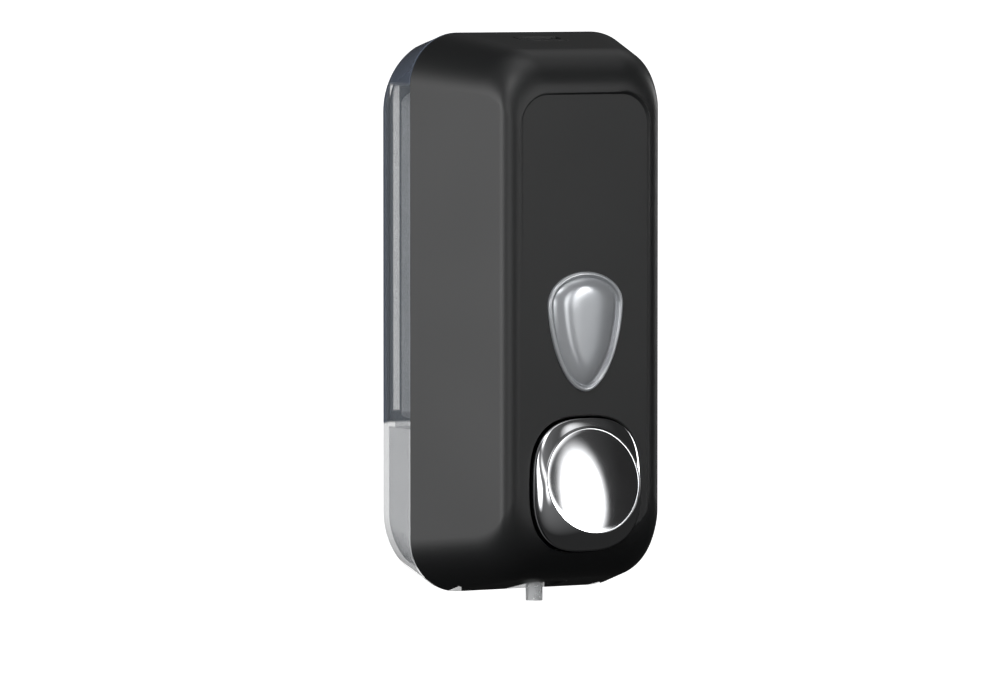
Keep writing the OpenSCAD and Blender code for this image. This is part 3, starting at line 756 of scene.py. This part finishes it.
def nitrile_rubber():
    """Cut black nitrile rubber: dull, with talc left in the surface."""
    look, tree, place = blank("nitrile_rubber")
    talc = add(tree, "ShaderNodeTexNoise", {"Vector": place, "Scale": per(0.6), "Detail": 3.0})
    tone = add(
        tree,
        "ShaderNodeMix",
        {"Factor": talc.outputs[0], "A": srgb("#1B1B1C"), "B": srgb("#2D2D2E")},
        data_type="RGBA",
    )
    bump = add(
        tree, "ShaderNodeBump", {"Height": talc.outputs[0], "Distance": 0.02 * MM, "Strength": 1.0}
    )
    plastic(
        tree,
        {
            "Base Color": tone.outputs[2],
            "Roughness": 0.7,
            "IOR": 1.52,
            "Normal": bump.outputs[0],
        },
    )
    return look


def natural_polypropylene():
    """Moulded natural polypropylene: hazy and colourless, with a soft gloss."""
    look, tree, place = blank("natural_polypropylene")
    haze = add(tree, "ShaderNodeTexNoise", {"Vector": place, "Scale": per(2.5), "Detail": 2.0})
    tone = add(
        tree,
        "ShaderNodeMix",
        {"Factor": haze.outputs[0], "A": srgb("#ECEEF0"), "B": srgb("#F6F7F8")},
        data_type="RGBA",
    )
    gloss = add(
        tree, "ShaderNodeMapRange", {"Value": haze.outputs[0], "To Min": 0.2, "To Max": 0.32}
    )
    bump = add(
        tree, "ShaderNodeBump", {"Height": haze.outputs[0], "Distance": 0.02 * MM, "Strength": 1.0}
    )
    plastic(
        tree,
        {
            "Base Color": tone.outputs[2],
            "Roughness": gloss.outputs[0],
            "IOR": 1.49,
            "Transmission Weight": 0.6,
            "Normal": bump.outputs[0],
        },
    )
    return look


black_abs = moulded_black_abs()
smoked_san = smoked_clear_san()
pearl = pearly_polycarbonate()
chrome = chrome_plated_abs()
polyethylene = frosted_polyethylene()
acetal = white_acetal()
nylon = glass_filled_nylon()
zinc = zinc_plated_steel()
wire = drawn_spring_wire()
silicone = translucent_silicone()
nitrile = nitrile_rubber()
polypropylene = natural_polypropylene()

# ---------- cover ----------

hinge_x = 31
ear_w = 5
lug_w = 2.5
lug_r = 3.2
ear_r = 2.5
running = 0.5
hinge_pin_r = 1.5
pin_hole_half_l = 5.6
collar_gap = 0.7
collar_wall = 2
bore_lip = 0.5
boss_ring = 30.4
boss_r = 3.1
lock_d = 46
lock_plate_t = 1.5
slot_l = 16
slot_w = 6
slot_r = 1
slot_lip = 0.2
slot_collar_l = 22
slot_collar_w = 10
slot_collar_r = 3.5
lock_boss_r = 2.6
lock_boss_back = 7
lock_boss_d = lock_d + lock_boss_back
lock_bosses_x = (-8, 14)
nozzle_notch_w = 18
nozzle_notch_h = 8
nozzle_notch_front = 11.3
nozzle_notch_front_d = nozzle_d + nozzle_notch_front
window_rim = 2
# Clearance of pieces that are fitted and stay put, and overshoot of cutters
fit = 0.05
over = 1
# How far pieces that are joined run into each other
eps = 0.01
# Width of the small chamfer on outer edges
edge_break = 0.25


def within_skin(piece, m):
    """Keeps the part of a piece that lies under the cover's surface."""
    return combine(piece, "INTERSECT", solid("skin", cover_skin(cover_back_d, front_d - m, m)))


def hinge_lugs(side):
    """Two lugs that hold a hinge pin on either side of the shell's ear."""
    lugs = []
    for step in (-1, 1):
        middle = hinge_x + step * (ear_w / 2 + running + lug_w / 2)
        x = sides(middle - lug_w / 2, middle + lug_w / 2, side)
        lug = rod_x(lug_r, *x, hinge_d, hinge_z)
        foot = block(x, (hinge_d - lug_r, hinge_d + lug_r), (-half_h + cover_wall / 2, hinge_z))
        lugs.append(within_skin(combine(lug, "UNION", foot), cover_wall / 2))
    return lugs


def slot_collar():
    """Raised collar round the key slot, with rounded ends."""
    outline = rounded_box(
        slot_collar_l / 2, -slot_collar_w / 2, slot_collar_w / 2, slot_collar_r, 12
    )
    low, high = half_h - 2 * cover_wall - 2, half_h
    rings = [[(x, -lock_d + y, z) for x, y in outline] for z in (low, high)]
    skin = cover_skin(cover_back_d, front_d, 0)
    raised = [[(x, y, z + slot_lip) for x, y, z in ring] for ring in skin]
    collar = combine(solid("slot_collar", rings), "INTERSECT", solid("raised", raised))
    return combine(
        collar,
        "DIFFERENCE",
        solid("inside", cover_skin(cover_back_d - over, panel_in_d, cover_wall / 2)),
    )


def button_bore():
    """Cutter for the collar's bore, flared into a soft lip at the panel."""
    flare = [(front_d + over, collar_gap + bore_lip + 0.2)]
    for i in range(7):
        a = math.radians(90 * i / 6)
        depth = seat_d - bore_lip * (1 - math.cos(a))
        flare.append((depth, collar_gap + bore_lip * (1 - math.sin(a))))
    flare.append((guide_front_d - over, collar_gap))
    return solid("bore", [button_ring(grow, 0, d) for d, grow in flare])


def recess_outline(grow):
    """The recess's outline, moved outwards by grow."""
    return rounded_box(
        half_w - side_inset - recess_slope + grow,
        -half_h + bottom_inset - recess_foot - grow,
        half_h - top_inset - recess_slope + grow,
        recess_r + grow,
    )


def recess_depth(x, z):
    """The recess is deepest at its upper right corner and runs out at the lower left."""
    return recess * (0.42 + 0.015 * x + 0.005 * z)


def panel_recess():
    """Cutter for the shallow recess, with a sloping side."""
    rings = []
    for rise, grow in ((0, 0), (0.06, 0.2), (0.3, 0.75), (1.5, 2.9)):
        outline = recess_outline(grow)
        rings.append([(x, -front_d + recess_depth(x, z) - rise, z) for x, z in outline])
    return solid("recess", rings)


def recess_lip():
    """Low bead along the recess's edge, where the recess is deep enough to have one."""
    rings = []
    for grow, rise in ((0.4, -0.4), (0.7, 0), (1.3, 0.1), (2.4, -0.4)):
        ring = []
        for x, z in recess_outline(grow):
            share = min(1, max(0, recess_depth(x, z) / recess * 1.6 - 0.2))
            ring.append((x, -front_d + 2 - (rise + 2) * share, z))
        rings.append(ring)
    return solid("recess_lip", rings, closed=True)


def make_cover():
    """The cover: skin, button collar, bosses, hinge lugs, key slot, recess and window hole."""
    edge = [cover_ring(cover_back_d, 0, edge_break), cover_ring(cover_back_d + edge_break, 0)]
    outer = solid("cover_moulding", edge + cover_skin(cover_back_d + 2 * edge_break, front_d, 0))
    inner = solid("inside", cover_skin(cover_back_d - over, panel_in_d, cover_wall))
    cover = combine(outer, "DIFFERENCE", inner)
    collar = oval_slab(collar_gap + collar_wall, guide_front_d, front_d)
    collar = within_skin(collar, cover_wall / 2)
    bosses = []
    for a in (45, 135, 225, 315):
        x = boss_ring * math.cos(math.radians(a))
        z = button_z + boss_ring * math.sin(math.radians(a))
        bosses.append(within_skin(rod_y(boss_r, guide_front_d, front_d, x, z, 48), cover_wall / 2))
    posts = [
        within_skin(
            rod_z(lock_boss_r, lock_plate_z + lock_plate_t, half_h, lock_boss_d, x), cover_wall / 2
        )
        for x in lock_bosses_x
    ]
    lugs = hinge_lugs(1) + hinge_lugs(-1)
    combine(cover, "UNION", collar, *bosses, *posts, *lugs, slot_collar(), recess_lip())
    window_hole = slab(egg(-window_rim + fit), panel_in_d - over, front_d + over)
    slot_outline = rounded_box(slot_l / 2, -slot_w / 2, slot_w / 2, slot_r, 6)
    slot = solid(
        "slot",
        [
            [(x, -lock_d + y, z) for x, y in slot_outline]
            for z in (lock_plate_z + 2, half_h + over)
        ],
    )
    notch = block(
        (-nozzle_notch_w / 2, nozzle_notch_w / 2),
        (0, nozzle_notch_front_d),
        (-half_h - over, -half_h + nozzle_notch_h),
    )
    slots = [
        block(
            sides(hinge_x - ear_w / 2 - running, hinge_x + ear_w / 2 + running, side),
            (seam_d - over, hinge_d + ear_r + 3 * running),
            (-half_h - over, hinge_z),
        )
        for side in (1, -1)
    ]
    pin_ends = (hinge_x - pin_hole_half_l, hinge_x + pin_hole_half_l)
    pins = [
        rod_x(hinge_pin_r + fit, *sides(*pin_ends, side), hinge_d, hinge_z) for side in (1, -1)
    ]
    combine(
        cover,
        "DIFFERENCE",
        panel_recess(),
        window_hole,
        button_bore(),
        slot,
        notch,
        *slots,
        *pins,
    )
    return cover


# ---------- back shell ----------

ear_root = 14
ear_clear = 1
shelf_t = 3
shelf_x = 18
shelf_front_d = 24
hook_x = 30
hook_w = 8
hook_z = 56
hook_t = 1.5
hook_lip = 4
hook_gap = 1.2
keeper_z = bolt_low
keeper_t = 2.5
keeper_depth = 9
keeper_x = -14
keeper_w = 4
keeper_reach = 5
claw_t = 2.2
bolt_w = 5.2
bolt_gap = 0.4
pin_play = 0.08
hinge_sweep_r = math.hypot(hinge_d - cover_back_d, hinge_z + half_h) + running


def shell_core():
    """What lies inside the middle of the shell's walls, for fittings that root in them."""
    return solid("core", [shell_ring(1, shell_wall / 2), shell_ring(seam_d, shell_wall / 2)])


def hinge_ear(side):
    """Ear that carries a hinge pin, rooted on the shell's floor."""
    x = sides(hinge_x - ear_w / 2, hinge_x + ear_w / 2, side)
    root_d = hinge_d - hinge_sweep_r - ear_clear
    ear = rod_x(ear_r, *x, hinge_d, hinge_z)
    arm = block(x, (root_d, hinge_d), (hinge_z - ear_r, hinge_z + ear_r))
    root = block(x, (root_d - ear_root, root_d + eps), (-half_h, hinge_z + ear_r))
    return combine(ear, "UNION", arm, combine(root, "INTERSECT", shell_core()))


def tank_shelf(side):
    """Shelf under one side of the tank."""
    x = sides(shelf_x, half_w - back_inset_side, side)
    shelf = block(x, (plate_t - eps, shelf_front_d), (shelf_z - shelf_t, shelf_z))
    return combine(shelf, "INTERSECT", shell_core())


def shell_hook(side):
    """Upright lip that the tank's hook drops behind."""
    x = sides(hook_x - hook_w / 2, hook_x + hook_w / 2, side)
    lip_d = plate_t + hook_t + hook_gap
    arm = block(x, (plate_t - eps, lip_d + hook_t), (hook_z - hook_t * 2, hook_z))
    lip = block(x, (lip_d, lip_d + hook_t), (hook_z - eps, hook_z + hook_lip))
    return combine(arm, "UNION", lip)


def lock_keeper():
    """Arm with a side claw that the lock's bolt grips."""
    tip_d = lock_d - bolt_w / 2 - bolt_gap
    back_d = seam_d - keeper_depth
    x = (keeper_x - keeper_w, keeper_x)
    z = (keeper_z, keeper_z + keeper_t)
    arm = block(x, (back_d, tip_d), z)
    root = block(x, (back_d, seam_d - 1), (keeper_z, half_h - shell_wall))
    claw = block((keeper_x - eps, keeper_x + keeper_reach), (tip_d - claw_t, tip_d), z)
    return combine(arm, "UNION", root, claw)


def make_shell():
    """The back shell: tub with a bevelled back, its fittings, screw holes and hinge pin hole."""
    rings = [
        shell_ring(0, back_bevel),
        shell_ring(back_bevel * 0.3, back_bevel * 0.3),
        shell_ring(back_bevel, 0),
        shell_ring(seam_d - edge_break, 0),
        shell_ring(seam_d, edge_break),
    ]
    outer = solid("shell_moulding", rings)
    cavity = [shell_ring(plate_t, shell_wall), shell_ring(seam_d + over, shell_wall)]
    inner = solid("inside", cavity)
    sweep = combine(
        rod_x(hinge_sweep_r, -half_w, half_w, hinge_d, hinge_z),
        "INTERSECT",
        block((-half_w, half_w), (0, seam_d + over), (-half_h - over, hinge_z)),
    )
    shell = combine(outer, "DIFFERENCE", inner, sweep)
    fittings = [make(side) for make in (hinge_ear, tank_shelf, shell_hook) for side in (1, -1)]
    combine(shell, "UNION", *fittings, lock_keeper())
    holes = [
        rod_y(screw_hole_r, -over, plate_t + over, x * screw_dx / 2, z * screw_dz / 2, 48)
        for x in (-1, 1)
        for z in (-1, 1)
    ]
    pin_hole = rod_x(hinge_pin_r + pin_play, -half_w, half_w, hinge_d, hinge_z)
    return combine(shell, "DIFFERENCE", *holes, pin_hole)


# ---------- window ----------

rim_height = 0.75
rim_plug = 1.5
rim_back_d = front_d - 4.1
lens_gap = 0.25
lens_t = 1.3
# The lens is nearly flat in its middle, and its contours crowd towards its two ends
lens_power = 4.5
lens_crowding = 0.45
lens_edge_rise = 0.2


def rim_rings():
    """Clear bead round the window with its plug through the panel, as a closed section."""
    section = [(-window_rim, seat_d + 0.9)]
    for i in range(9):
        a = math.radians(180 - 180 * i / 8)
        section.append((-1 + math.cos(a) * 0.95, front_d + 0.55 + rim_height * math.sin(a)))
    section += [(0, seat_d + fit), (-fit, seat_d), (-window_rim - fit, seat_d)]
    section += [(-window_rim - fit, rim_back_d), (-window_rim - rim_plug, rim_back_d)]
    section += [(-window_rim - rim_plug, seat_d + 0.2)]
    return [at_depth(egg(g), d) for g, d in section]


def lens_rings():
    """Domed lens: an even crown that falls away to its groove, hollow behind."""
    middle_z = (window_low + window_top) / 2 + 3
    edge = egg(-window_rim - lens_gap)
    edge_front_d = front_d + lens_edge_rise
    height = window_front_d - fit - edge_front_d

    def ring(share, d):
        return [(x * share, -d, middle_z + (z - middle_z) * share**lens_crowding) for x, z in edge]

    def crown(share):
        return height * (1 - share**lens_power)

    steps = 20
    shares = [0.01 + 0.99 * i / steps for i in range(steps + 1)]
    front = [ring(t, edge_front_d + crown(t)) for t in shares]
    back = [ring(t, edge_front_d - lens_t + crown(t)) for t in reversed(shares[:-1])]
    return front + [ring(1, front_d - 0.2)] + back


# ---------- button ----------


def button_ring(grow, share, d, up=0, tilt=0):
    """A ring of the button's outline at a depth, moved up and tilted up."""
    return [
        (x, -d + z * math.sin(tilt), button_z + up + z * math.cos(tilt))
        for x, z in button_outline(grow, share)
    ]


def face_ring(r, bulge):
    """A ring on the slanted face, moved out along the face's own axis."""
    d = edge_d + face_out + bulge * math.cos(face_tilt)
    return button_ring(r - face_r, 1, d, face_up + bulge * math.sin(face_tilt), face_tilt)


def shoulder(m, shares):
    """The oblique dome between the skirt's edge and the slanted face, under a skin m thick."""
    rings = []
    for share in shares:
        swell = math.sin(dome_sweep * share) / math.sin(dome_sweep)
        closing = (1 - math.cos(dome_sweep * share)) / (1 - math.cos(dome_sweep))
        d = edge_d + dome_base - m + (face_out - dome_base) * swell
        grow = -dome_ledge * (1 - closing) - m
        rings.append(button_ring(grow, closing, d, face_up * swell, face_tilt * share))
    return rings


def make_button():
    """The hollow button: crowned face in a fine collar, shoulder and skirt."""
    edge = face_r - 0.8
    radii = [centre_r + (edge - centre_r) * i / 12 for i in range(13)]
    face = [(r, face_crown * (1 - (r / edge) ** 2) - face_sink) for r in radii]
    face_collar = ((0.62, -0.16), (0.5, 0.06), (0.32, 0.14), (0.12, 0.08))
    face += [(face_r - inset, rise) for inset, rise in face_collar]
    rings = [face_ring(r, bulge) for r, bulge in face]
    rings += shoulder(0, [1 - i / 24 for i in range(25)])
    skirt = [
        (-dome_ledge, edge_d + 0.04),
        (-0.06, edge_d - 0.04),
        (0, edge_d - 0.2),
        (0, skirt_back_d + edge_break),
        (-edge_break, skirt_back_d),
        (-button_wall, skirt_back_d),
        (-button_wall, edge_d - button_wall - 0.1),
    ]
    rings += [button_ring(grow, 0, d) for grow, d in skirt]
    rings += shoulder(button_wall, [i / 8 for i in range(9)])
    under_face_d = edge_d + face_out - button_wall
    rings.append(button_ring(centre_r - face_r, 1, under_face_d, face_up, face_tilt))
    return solid("button_moulding", rings)


# ---------- spring and membrane ----------

wire_r = 0.5
spring_turns = 4
spring_inner_r = 7.8
spring_cone = 4.4
membrane_foot_r = 12.5
membrane_t = 1.2


def make_spring():
    """Conical spring, wide at the guide plate and narrow at the carrier."""
    sides_of_wire, per_turn = 12, 48
    coil_r = spring_inner_r + wire_r
    rise = spring_front_d - spring_back_d - 2 * wire_r
    total = spring_turns * per_turn
    rings = []
    for i in range(total + 1):
        a = math.radians(360 * i / per_turn)
        d = spring_back_d + wire_r + rise * i / total
        ring = []
        for k in range(sides_of_wire):
            b = math.radians(360 * k / sides_of_wire)
            r = coil_r + spring_cone * (1 - i / total) + wire_r * math.cos(b)
            ring.append((r * math.cos(a), -d - wire_r * math.sin(b), button_z + r * math.sin(a)))
        rings.append(ring)
    return solid("button_spring_wire", rings)


def make_membrane():
    """Silicone dome with a flat rim, turned about the button's axis."""
    height = dome_d - membrane_d
    bulge = (membrane_foot_r**2 + height**2) / (2 * height)
    sweep = math.asin(membrane_foot_r / bulge)

    def cap(r):
        angles = [sweep * i / 20 for i in range(21)]
        return [(r * math.sin(a) + 0.02, dome_d - bulge + r * math.cos(a)) for a in angles]

    rim_d = membrane_d + membrane_t
    outside = [(r, d) for r, d in cap(bulge) if d > rim_d]
    rim = [
        (outside[-1][0] + 0.3, rim_d),
        (chamber_r - 0.2, rim_d),
        (chamber_r, rim_d - 0.2),
        (chamber_r, membrane_d),
    ]
    inside = [(r, d) for r, d in reversed(cap(bulge - membrane_t)) if d > membrane_d + 0.1]
    section = outside + rim + [(inside[0][0], membrane_d)] + inside
    return solid("membrane_moulding", [at_depth(circle(r, button_z), d) for r, d in section])


# ---------- studio ----------

# In metres: a dispenser hangs about this high above a washroom's floor
floor_z = -1.1
floor_size = 30
stage_glow = 1.1
# The camera's place in degrees and metres, and its lens; it aims a little left and below
camera_azimuth, camera_elevation = 29.84, 2.90
camera_lens = 271.3
camera_distance = 2.924
camera_aim_left, camera_aim_down = 0.00776, 0.0135
camera_middle_y = -0.030
# How strongly the surroundings light the object, from behind and from the front left
air_low, air_high = 0.024, 0.2


def camera_axes(azimuth, elevation):
    """Directions from the object to the camera, to the camera's right and upwards."""
    a, e = math.radians(azimuth), math.radians(elevation)
    back = Vector((-math.sin(a) * math.cos(e), -math.cos(a) * math.cos(e), math.sin(e)))
    right = Vector((math.cos(a), -math.sin(a), 0))
    return back, right, back.cross(right)


def aimed(made, at):
    """Turns a camera, lamp or sheet to face a point, and links it."""
    made.rotation_euler = (Vector(at) - made.location).to_track_quat("-Z", "Y").to_euler()
    bpy.context.collection.objects.link(made)
    return made


def set_camera():
    """A long lens from the front left, a little above the dispenser's middle."""
    back, right, up = camera_axes(camera_azimuth, camera_elevation)
    middle = Vector((0, camera_middle_y, 0))
    data = bpy.data.cameras.new("camera")
    data.sensor_width = 36
    data.lens = camera_lens
    data.clip_end = 50
    made = bpy.data.objects.new("camera", data)
    made.location = middle + back * camera_distance
    aimed(made, middle - right * camera_aim_left - up * camera_aim_down)
    bpy.context.scene.camera = made


def stage_sheet(name, look, at, aim, width, height):
    """A flat sheet of the studio, square to the line from it to its aim."""
    mesh = bpy.data.meshes.new(name)
    mesh.from_pydata([(-1, -1, 0), (1, -1, 0), (1, 1, 0), (-1, 1, 0)], [], [(0, 1, 2, 3)])
    mesh.materials.append(look)
    made = bpy.data.objects.new(name, mesh)
    made.location = at
    made.scale = (width / 2, height / 2, 1)
    aimed(made, aim)
    return made


def matt_floor_paint():
    """Pale floor paint, rolled: matt and even, with a glow that keeps it pale from every side."""
    look, tree, place = blank("matt_floor_paint")
    worn = add(tree, "ShaderNodeTexNoise", {"Vector": place, "Scale": per(250), "Detail": 1.0})
    tone = add(
        tree,
        "ShaderNodeMix",
        {"Factor": worn.outputs[0], "A": srgb("#CBCBC9"), "B": srgb("#CFCFCD")},
        data_type="RGBA",
    )
    plastic(
        tree,
        {
            "Base Color": tone.outputs[2],
            "Roughness": 0.9,
            "IOR": 1.4,
            "Emission Color": tone.outputs[2],
            "Emission Strength": stage_glow,
        },
    )
    return look


def lit_cloth():
    """Woven diffusion cloth, lit evenly from behind."""
    look, tree, place = blank("lit_cloth")
    weave = add(tree, "ShaderNodeTexNoise", {"Vector": place, "Scale": per(25), "Detail": 0.0})
    tone = add(
        tree,
        "ShaderNodeMix",
        {"Factor": weave.outputs[0], "A": srgb("#FDFDFD"), "B": srgb("#FFFFFF")},
        data_type="RGBA",
    )
    plastic(
        tree,
        {
            "Base Color": tone.outputs[2],
            "Roughness": 1.0,
            "Emission Color": tone.outputs[2],
            "Emission Strength": stage_glow,
        },
    )
    return look


def lamp(name, power, way, width, height, spread):
    """A softbox that is brightest in its middle and fades out at its rim, aimed at the object.

    Power is in watts, way is azimuth, elevation and distance, and spread is in degrees.
    """
    data = bpy.data.lights.new(name, "AREA")
    data.shape = "RECTANGLE"
    data.size = width
    data.size_y = height
    data.energy = power
    data.spread = math.radians(spread)
    data.use_nodes = True
    tree = data.node_tree
    tree.nodes.clear()
    spot = add(tree, "ShaderNodeNewGeometry")
    place = add(
        tree,
        "ShaderNodeVectorMath",
        {0: spot.outputs["Parametric"], 1: (2, 2, 0), 2: (-1, -1, 0)},
        operation="MULTIPLY_ADD",
    )
    fade = add(
        tree, "ShaderNodeTexGradient", {"Vector": place.outputs[0]}, gradient_type="SPHERICAL"
    )
    level = add(
        tree,
        "ShaderNodeMapRange",
        {"Value": fade.outputs["Fac"], "From Max": 0.8},
        interpolation_type="SMOOTHSTEP",
    )
    glow = add(tree, "ShaderNodeEmission", {"Strength": level.outputs[0]})
    add(tree, "ShaderNodeOutputLight", {"Surface": glow.outputs[0]})
    made = bpy.data.objects.new(name, data)
    made.location = from_object(*way)
    aimed(made, from_object(0, 0, 0))


def studio_air():
    """Surroundings, white to look at, that light the object dimly and most from the front left."""
    world = bpy.data.worlds.new("studio_air")
    world.use_nodes = True
    tree = world.node_tree
    tree.nodes.clear()
    way = add(tree, "ShaderNodeTexCoord")
    lean = add(
        tree,
        "ShaderNodeVectorMath",
        {0: way.outputs["Generated"], 1: (-0.72, -0.62, 0.3)},
        operation="DOT_PRODUCT",
    )
    level = add(
        tree,
        "ShaderNodeMapRange",
        {
            "Value": lean.outputs["Value"],
            "From Min": 0.1,
            "From Max": 1.0,
            "To Min": air_low,
            "To Max": air_high,
        },
    )
    path = add(tree, "ShaderNodeLightPath")
    seen = add(
        tree,
        "ShaderNodeMath",
        {0: path.outputs["Is Camera Ray"], 1: level.outputs[0]},
        operation="MAXIMUM",
    )
    air = add(tree, "ShaderNodeBackground", {"Color": (1, 1, 1, 1), "Strength": seen.outputs[0]})
    add(tree, "ShaderNodeOutputWorld", {"Surface": air.outputs[0]})
    return world


def from_object(azimuth, elevation, distance):
    """A place in the studio; azimuth 0 is straight in front of the object and 90 to its right."""
    a, e = math.radians(azimuth), math.radians(elevation)
    way = Vector((math.sin(a) * math.cos(e), -math.cos(a) * math.cos(e), math.sin(e)))
    return Vector((0, -0.05, 0)) + way * distance


def set_studio():
    """Floor, backdrop, lamps and surroundings; the floor is seen, but lights nothing."""
    middle = from_object(0, 0, 0)
    at, aim = (0, 0, floor_z), (0, 0, 2 * floor_z)
    floor = stage_sheet("floor", matt_floor_paint(), at, aim, floor_size, floor_size)
    floor.visible_glossy = floor.visible_diffuse = False
    stage_sheet("backdrop", lit_cloth(), (1.4, 2.4, -0.2), middle, 1.3, 0.8)
    lamp("left_lamp", 4.6, (-97, 3, 1.4), 1.5, 1.9, 50)
    lamp("fill_lamp", 2.6, (-42, 6, 2.0), 1.8, 1.8, 50)
    lamp("high_left_lamp", 4, (-35, 44, 2.0), 2.4, 1.5, 50)
    lamp("near_front_lamp", 0.55, (9, 4, 1.8), 0.6, 1.5, 45)
    lamp("front_lamp", 0.6, (26.5, 8, 1.8), 0.5, 0.95, 40)
    lamp("right_lamp", 1.0, (98, 10, 1.8), 0.8, 1.3, 40)
    lamp("overhead_lamp", 3, (20, 76, 1.4), 2.2, 1.8, 70)
    lamp("high_back_lamp", 0.8, (125, 48, 1.6), 2.2, 1.6, 60)
    bpy.context.scene.world = studio_air()
    bpy.context.scene.view_settings.view_transform = "Standard"


# ---------- assembly ----------


def fit_piece(piece, name, body, look, replaced):
    """Dresses a smooth moulding and puts it on its body in place of its CAD node."""
    piece.name = name
    piece.data.materials.clear()
    piece.data.materials.append(look)
    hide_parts(replaced)
    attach(piece, body)


def dress(node, look):
    """Gives a CAD node its material."""
    nodes[node].data.materials.clear()
    nodes[node].data.materials.append(look)


set_camera()
set_studio()

cover = smooth(make_cover())
fit_piece(cover, "cover_moulding", "cover", black_abs, "front_cover")
shell = smooth(make_shell())
fit_piece(shell, "shell_moulding", "housing", smoked_san, "back_shell")
rim = smooth(solid("window_rim", rim_rings(), closed=True))
fit_piece(rim, "window_rim", "cover", pearl, "window_lens")
lens = smooth(solid("window_dome", lens_rings()))
fit_piece(lens, "window_dome", "cover", pearl, "window_lens")
button = smooth(make_button())
fit_piece(button, "button_moulding", "button", chrome, "push_button")
spring = smooth(make_spring())
fit_piece(spring, "spring_wire", "cover", wire, "button_spring")
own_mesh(settle(spring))
membrane = smooth(make_membrane())
fit_piece(membrane, "membrane_dome", "tank_unit", silicone, "pump_membrane")
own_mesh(settle(membrane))

for node in ("hinge_pins", "lock_screws", "guide_screws"):
    dress(node, zinc)
for node in ("lock_plate", "button_guide"):
    dress(node, nylon)
for node in ("lock_bolt", "button_carrier", "pump_nut", "pump_body", "membrane_ring"):
    dress(node, acetal)
for node in ("tank", "tank_lid"):
    dress(node, polyethylene)
for node in ("inlet_valve", "outlet_valve"):
    dress(node, silicone)
dress("neck_gasket", nitrile)
dress("nozzle", polypropylene)
